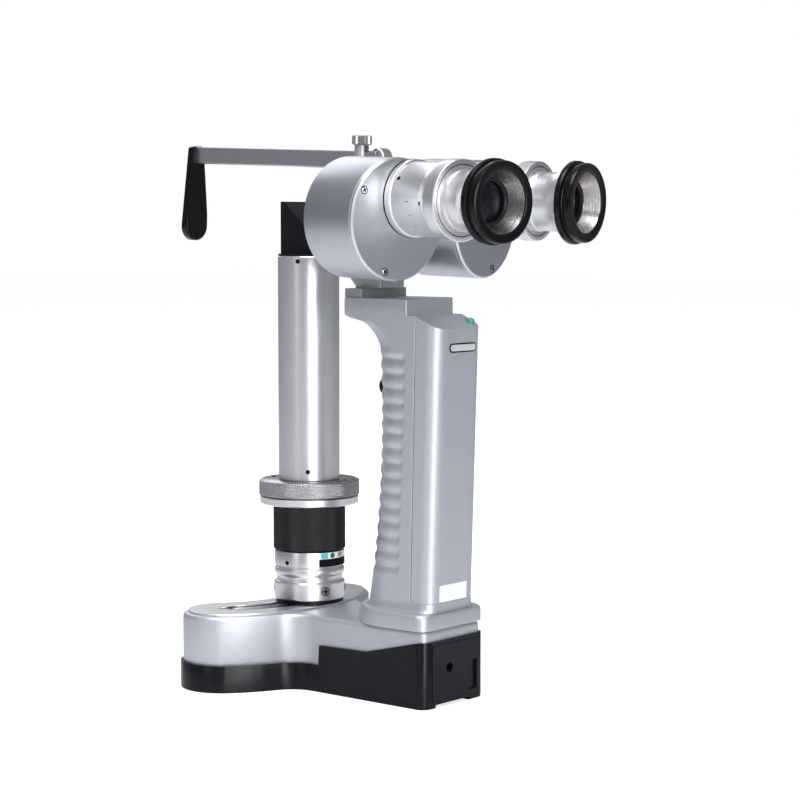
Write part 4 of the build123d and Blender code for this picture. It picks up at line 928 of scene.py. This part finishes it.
def build_drum(side):
    """Smooth drum with its rear plate and the plate's screws."""
    word = WORD[side]
    body = word + "_drum"
    drum = drum_frame(side)
    shell = lathe(f"{word}_drum_body", drum, [
        (10.1, -33.0), (26.6, -33.0), (27.3, -32.5), (27.5, -31.9), (27.5, -2.2), (27.36, -2.02),
        (25.2, -2.02), (25.2, -30.0), (10.1, -30.0),
    ], body, DRUM_SILVER, 240, 0.08)
    stand_in(f"{word}_drum_shell")
    plate = lathe(f"{word}_drum_plate", drum, [
        (0.02, -1.95), (27.36, -1.95), (27.5, -1.8), (27.5, -0.95), (26.75, -0.12), (26.6, 0.0),
        (0.02, 0.0),
    ], body, DRUM_SILVER, 240, 0.05)
    stand_in(f"{word}_drum_cover")
    # rim ring on the chamfer in a lighter silver: painted highlight
    edge = lathe(f"{word}_drum_rim", drum, [
        (26.5, -0.8), (27.54, -0.93), (27.54, -0.80), (26.78, 0.0), (26.62, 0.03), (26.5, 0.02),
    ], body, RIM_HIGHLIGHT_SILVER, 240)
    for i, angle in enumerate(PLATE_SCREW_ANGLES):
        turn = math.radians(mirrored(side, angle))
        x, y = PLATE_SCREW_RING * math.cos(turn), PLATE_SCREW_RING * math.sin(turn)
        spot = drum @ Matrix.Translation(Vector((x, y, 0)))
        spot = spot @ Matrix.Rotation(math.radians(25 + 40 * i), 4, "Z")
        screw(f"{word}_drum_screw_{i}", spot, 1.55, body, 0.3)


def build_fixed_tube(word, e):
    """The eyepiece's tube, fixed to the drum's plate."""
    drum = word + "_drum"
    # thin black ring in the joint between the drum's plate and the tube: painted shade in the gap
    seam = [(16.0, 0.0), (17.55, 0.0), (17.55, 0.32), (16.0, 0.32)]
    lathe(f"{word}_eyepiece_seam", e, seam, drum, INK_AND_SHADE_BLACK, 200)
    tube = lathe(f"{word}_eyepiece_tube_turned", e, [
        (14.0, 0.3), (17.2, 0.3), (17.4, 0.5), (17.4, 3.3), (17.2, 3.55), (16.7, 3.9),
        (EYE_TUBE_R, 4.2), (EYE_TUBE_R, 21.3), (16.75, 22.0), (17.9, 25.2), (17.9, 25.7),
        (14.0, 25.7),
    ], drum, EYE_SILVER, 240, 0.08)
    stand_in(f"{word}_eyepiece_tube")
    crescent = lathe(f"{word}_eyepiece_tube_edge", e, [
        (16.5, 3.2), (17.2, 3.45), (17.3, 3.62), (16.78, 3.98), (16.6, 4.0),
    ], drum, KNOB_LIGHT, 240)


def build_dioptre_ring(word, e):
    """The ring that is turned to focus."""
    focus = word + "_focus"
    ring = lathe(f"{word}_dioptre_ring_turned", e, [
        (13.9, 25.95), (17.9, 25.95), (18.1, 26.2), (18.1, 31.95), (17.9, 32.2), (17.5, 32.3),
        (15.95, 32.3), (15.9, 31.6), (15.55, 31.6), (15.5, 32.25), (13.9, 32.25),
    ], focus, EYE_SILVER, 240, 0.05)
    stand_in(f"{word}_dioptre_ring")
    # black ring in the groove: painted shade in the groove
    groove = [(15.56, 31.4), (15.9, 31.4), (15.9, 32.05), (15.56, 32.05)]
    lathe(f"{word}_dioptre_groove", e, groove, focus, INK_AND_SHADE_BLACK, 240)


def build_sliding_barrel(word, e):
    """The barrel that slides as the ring is turned, with its funnel, stop, retainer and eyecup."""
    body = word + "_eyepiece"
    barrel = lathe(f"{word}_eyepiece_barrel_turned", e, [
        (12.2, 10), (13.8, 10), (13.8, 33.6), (13.7, 34.2), (13.35, 34.8), (13.35, 40.5),
        (13.5, 42.4), (14.0, 44.4), (14.9, 46.3), (15.8, 47.6), (16.1, 48.4), (16.1, 49.4),
        (14.5, 49.5), (14.5, 55.8), (13.9, 56.5), (13.6, 56.5), (10.4, 49.2), (9.9, 48.8),
        (9.9, 48.3), (12.0, 48.1), (12.2, 44),
    ], body, EYE_SILVER, 240, 0.06)
    stand_in(f"{word}_eyepiece_barrel")
    # the barrel's inner cone in the darker silver: painted shade inside the eyecup
    funnel = lathe(f"{word}_eyepiece_funnel", e, [
        (13.60, 56.55), (12.0, 52.9), (10.40, 49.25), (10.26, 49.32), (11.88, 53.0), (13.46, 56.62),
    ], body, FUNNEL_SHADE_GREY, 240)
    stop = [(8.2, 44.1), (12.15, 44.1), (12.15, 44.6), (8.2, 44.6)]
    lathe(f"{word}_eyepiece_stop", e, stop, body, INK_AND_SHADE_BLACK, 160)
    lathe(f"{word}_lens_retainer", e, [
        (9.0, 47.9), (9.85, 47.7), (10.42, 49.1), (10.8, 50.0), (10.68, 50.08), (10.2, 49.3),
        (9.6, 48.8), (9.0, 48.5),
    ], body, BLACK_METAL, 160)
    cup = lathe(f"{word}_eyecup_moulded", e, [
        (14.55, 49.55), (18.1, 49.55), (18.6, 49.8), (18.8, 50.3), (18.8, 51.9), (18.6, 52.3),
        (18.0, 52.6), (17.1, 52.8), (16.9, 53.1), (16.95, 53.5), (17.4, 53.8), (17.8, 54.2),
        (17.95, 54.8), (17.95, 56.6), (17.75, 57.2), (17.2, 57.6), (14.3, 57.6), (13.8, 57.35),
        (13.55, 57.0), (13.6, 56.7), (14.0, 56.5), (14.55, 55.9),
    ], body, BLACK_RUBBER, 240)
    stand_in(f"{word}_eyecup")


def build_eyepiece_marks(side, word, e):
    """The tube's two small holes and the short scale marks."""
    drum = word + "_drum"
    # the two holes are black discs: painted shade
    for i, (angle, reach, radius) in enumerate(((148, 6.0, EYE_TUBE_R), (186, 23.0, 17.05))):
        spot = around(e, mirrored(side, angle), radius, reach)
        dark_hole(f"{word}_tube_hole_{i}", spot, 1.0, 0.6, drum, 36)
    scale = ((184, 14.0, 2.2), (206, 14.6, 1.2), (226, 15.0, 1.0))
    for i, (angle, reach, length) in enumerate(scale):
        spot = around(e, mirrored(side, angle), EYE_TUBE_R, reach)
        outline = rounded_outline(0.3, length, 0.1, 3)
        prism_piece(f"{word}_tube_mark_{i}", spot, outline, -0.1, 0.03, drum, INK_AND_SHADE_BLACK)
    spot = around(e, mirrored(side, 228), 15.2, 46.8)
    outline = rounded_outline(0.35, 1.9, 0.15, 3)
    prism_piece(f"{word}_barrel_mark", spot, outline, -0.4, 0.25, word + "_eyepiece", INK_AND_SHADE_BLACK)


def build_eyepiece(side):
    """Tube, dioptre ring, barrel, funnel and eyecup of one eyepiece."""
    word, e = WORD[side], eye_frame(side)
    build_fixed_tube(word, e)
    build_dioptre_ring(word, e)
    build_sliding_barrel(word, e)
    build_eyepiece_marks(side, word, e)


for drum_side in (LEFT, RIGHT):
    build_drum(drum_side)
    build_eyepiece(drum_side)


# ---------------------------------------------------------------- clamps and small pieces
# width of the rounded edges of the CAD nodes that stay visible
EASED_EDGES = [
    ("track_plate", 0.12), ("bottom_cover", 0.35), ("rear_cap", 0.25), ("mount_plate", 0.3),
    ("head_bridge", 0.4), ("bar_bracket", 0.3), ("forehead_bar", 0.25), ("forehead_pad", 0.35),
    ("mirror_box", 0.3), ("base_casting", 0.15),
]


def build_clamps():
    """Knurled thumb screw on the post and the side knob."""
    head = knurled("thumb_screw_knurl", POST, 4.65, 0.6, -1.5, 2.9, "bar_clamp",
                   KNOB_GREY, 44, 0.9, 0.28, 0.35, cross=False)
    stand_in("thumb_screw")
    stem = [(0.02, -3.9), (1.45, -3.9), (1.45, -1.4), (0.8, -1.4), (0.8, 2.85), (0.02, 2.85)]
    lathe("thumb_screw_stem", POST, stem, "bar_clamp", KNOB_GREY, 48)
    knob = make_frame(joint_point("side_lock_turn"), HEAD_FORWARD, joint_axis("side_lock_turn"))
    head = knurled("lock_knob_knurl", knob, 4.5, 0.6, -3.35, 3.95, "side_lock",
                   KNOB_LIGHT, 40, 0.9, 0.22, 0.6, cross=False)
    stand_in("lock_knob")
    stem = [(0.02, -6.3), (1.2, -6.3), (1.2, -3.3), (0.8, -3.3), (0.8, 3.9), (0.02, 3.9)]
    lathe("lock_knob_stem", knob, stem, "side_lock", KNOB_LIGHT, 48)


build_clamps()
for eased_name, eased_width in EASED_EDGES:
    ease_edges(eased_name, eased_width)


# ---------------------------------------------------------------- stage
FLOOR_HALF = 6                  # metres
FLOOR_LIFT = 0.72               # brightness the camera sees on top of the light
CAMERA_PLACE = (-0.79169, -0.64982, 0.22289)
CAMERA_LENS = 100.11
CAMERA_SENSOR = 36
CAMERA_NEAR = 0.01
CAMERA_DIP = 4.68               # degrees below level
CAMERA_AZIMUTH = -50.17


def area_light(name, size, location, target, power):
    """A rectangular soft box aimed at a point."""
    data = bpy.data.lights.new(name, "AREA")
    data.shape = "RECTANGLE"
    data.size, data.size_y = size
    data.energy = power
    light = bpy.data.objects.new(name, data)
    light.location = location
    light.rotation_euler = (Vector(target) - Vector(location)).to_track_quat("-Z", "Y").to_euler()
    bpy.context.scene.collection.objects.link(light)


def build_floor():
    """A pale floor that reflects a little and looks white to the camera."""
    bm = bmesh.new()
    bmesh.ops.create_grid(bm, x_segments=1, y_segments=1, size=FLOOR_HALF)
    mesh = bpy.data.meshes.new("floor")
    bm.to_mesh(mesh)
    bm.free()
    floor = bpy.data.objects.new("floor", mesh)
    bpy.context.scene.collection.objects.link(floor)
    mat, nodes, links, shader = material("floor_white")
    shader.inputs["Base Color"].default_value = (0.80, 0.81, 0.83, 1)
    shader.inputs["Roughness"].default_value = 0.22
    shader.inputs["Specular IOR Level"].default_value = 0.35
    shader.inputs["Emission Color"].default_value = (1, 1, 1, 1)
    path = nodes.new("ShaderNodeLightPath")
    lift = nodes.new("ShaderNodeMath")
    lift.operation = "MULTIPLY"
    lift.inputs[1].default_value = FLOOR_LIFT
    links.new(path.outputs["Is Camera Ray"], lift.inputs[0])
    links.new(lift.outputs[0], shader.inputs["Emission Strength"])
    mesh.materials.append(mat)


def build_world():
    """Grey surroundings, darker near the floor, that look white to the camera."""
    world = bpy.data.worlds.new("studio")
    world.use_nodes = True
    nodes, links = world.node_tree.nodes, world.node_tree.links
    background = nodes["Background"]
    coords = nodes.new("ShaderNodeTexCoord")
    split = nodes.new("ShaderNodeSeparateXYZ")
    links.new(coords.outputs["Generated"], split.inputs[0])
    dark, light = (0.20, 0.205, 0.225), (0.40, 0.41, 0.44)
    shade = ramp(nodes, links, split.outputs["Z"], 0.0, 0.8, dark, light)
    path = nodes.new("ShaderNodeLightPath")
    mix = nodes.new("ShaderNodeMix")
    mix.data_type = "RGBA"
    links.new(path.outputs["Is Camera Ray"], mix.inputs["Factor"])
    links.new(shade.outputs["Color"], mix.inputs["A"])
    mix.inputs["B"].default_value = (1, 1, 1, 1)
    links.new(mix.outputs["Result"], background.inputs["Color"])
    background.inputs["Strength"].default_value = 1.0
    bpy.context.scene.world = world


def build_lights():
    """Four soft boxes."""
    centre = (0, 0.03, 0.14)
    area_light("front", (0.75, 1.2), (-0.98, -1.42, 0.55), (0, 0.03, 0.22), 21)
    area_light("top", (0.9, 0.9), (-0.3, -0.2, 1.5), centre, 23)
    area_light("left", (0.3, 0.9), (-1.45, 0.15, 0.6), centre, 1.6)
    area_light("back", (0.8, 0.8), (0.7, 1.2, 0.9), centre, 4)
    scene = bpy.context.scene
    scene.view_settings.view_transform = "Standard"
    scene.cycles.use_denoising = True


def build_camera():
    """Camera low behind the observer's left shoulder, looking at the lamp from its rear left."""
    data = bpy.data.cameras.new("camera")
    data.sensor_width = CAMERA_SENSOR
    data.lens = CAMERA_LENS
    data.clip_start = CAMERA_NEAR
    camera = bpy.data.objects.new("camera", data)
    camera.location = CAMERA_PLACE
    camera.rotation_euler = (math.radians(90 - CAMERA_DIP), 0, math.radians(CAMERA_AZIMUTH))
    bpy.context.scene.collection.objects.link(camera)
    bpy.context.scene.camera = camera


build_floor()
build_world()
build_lights()
build_camera()
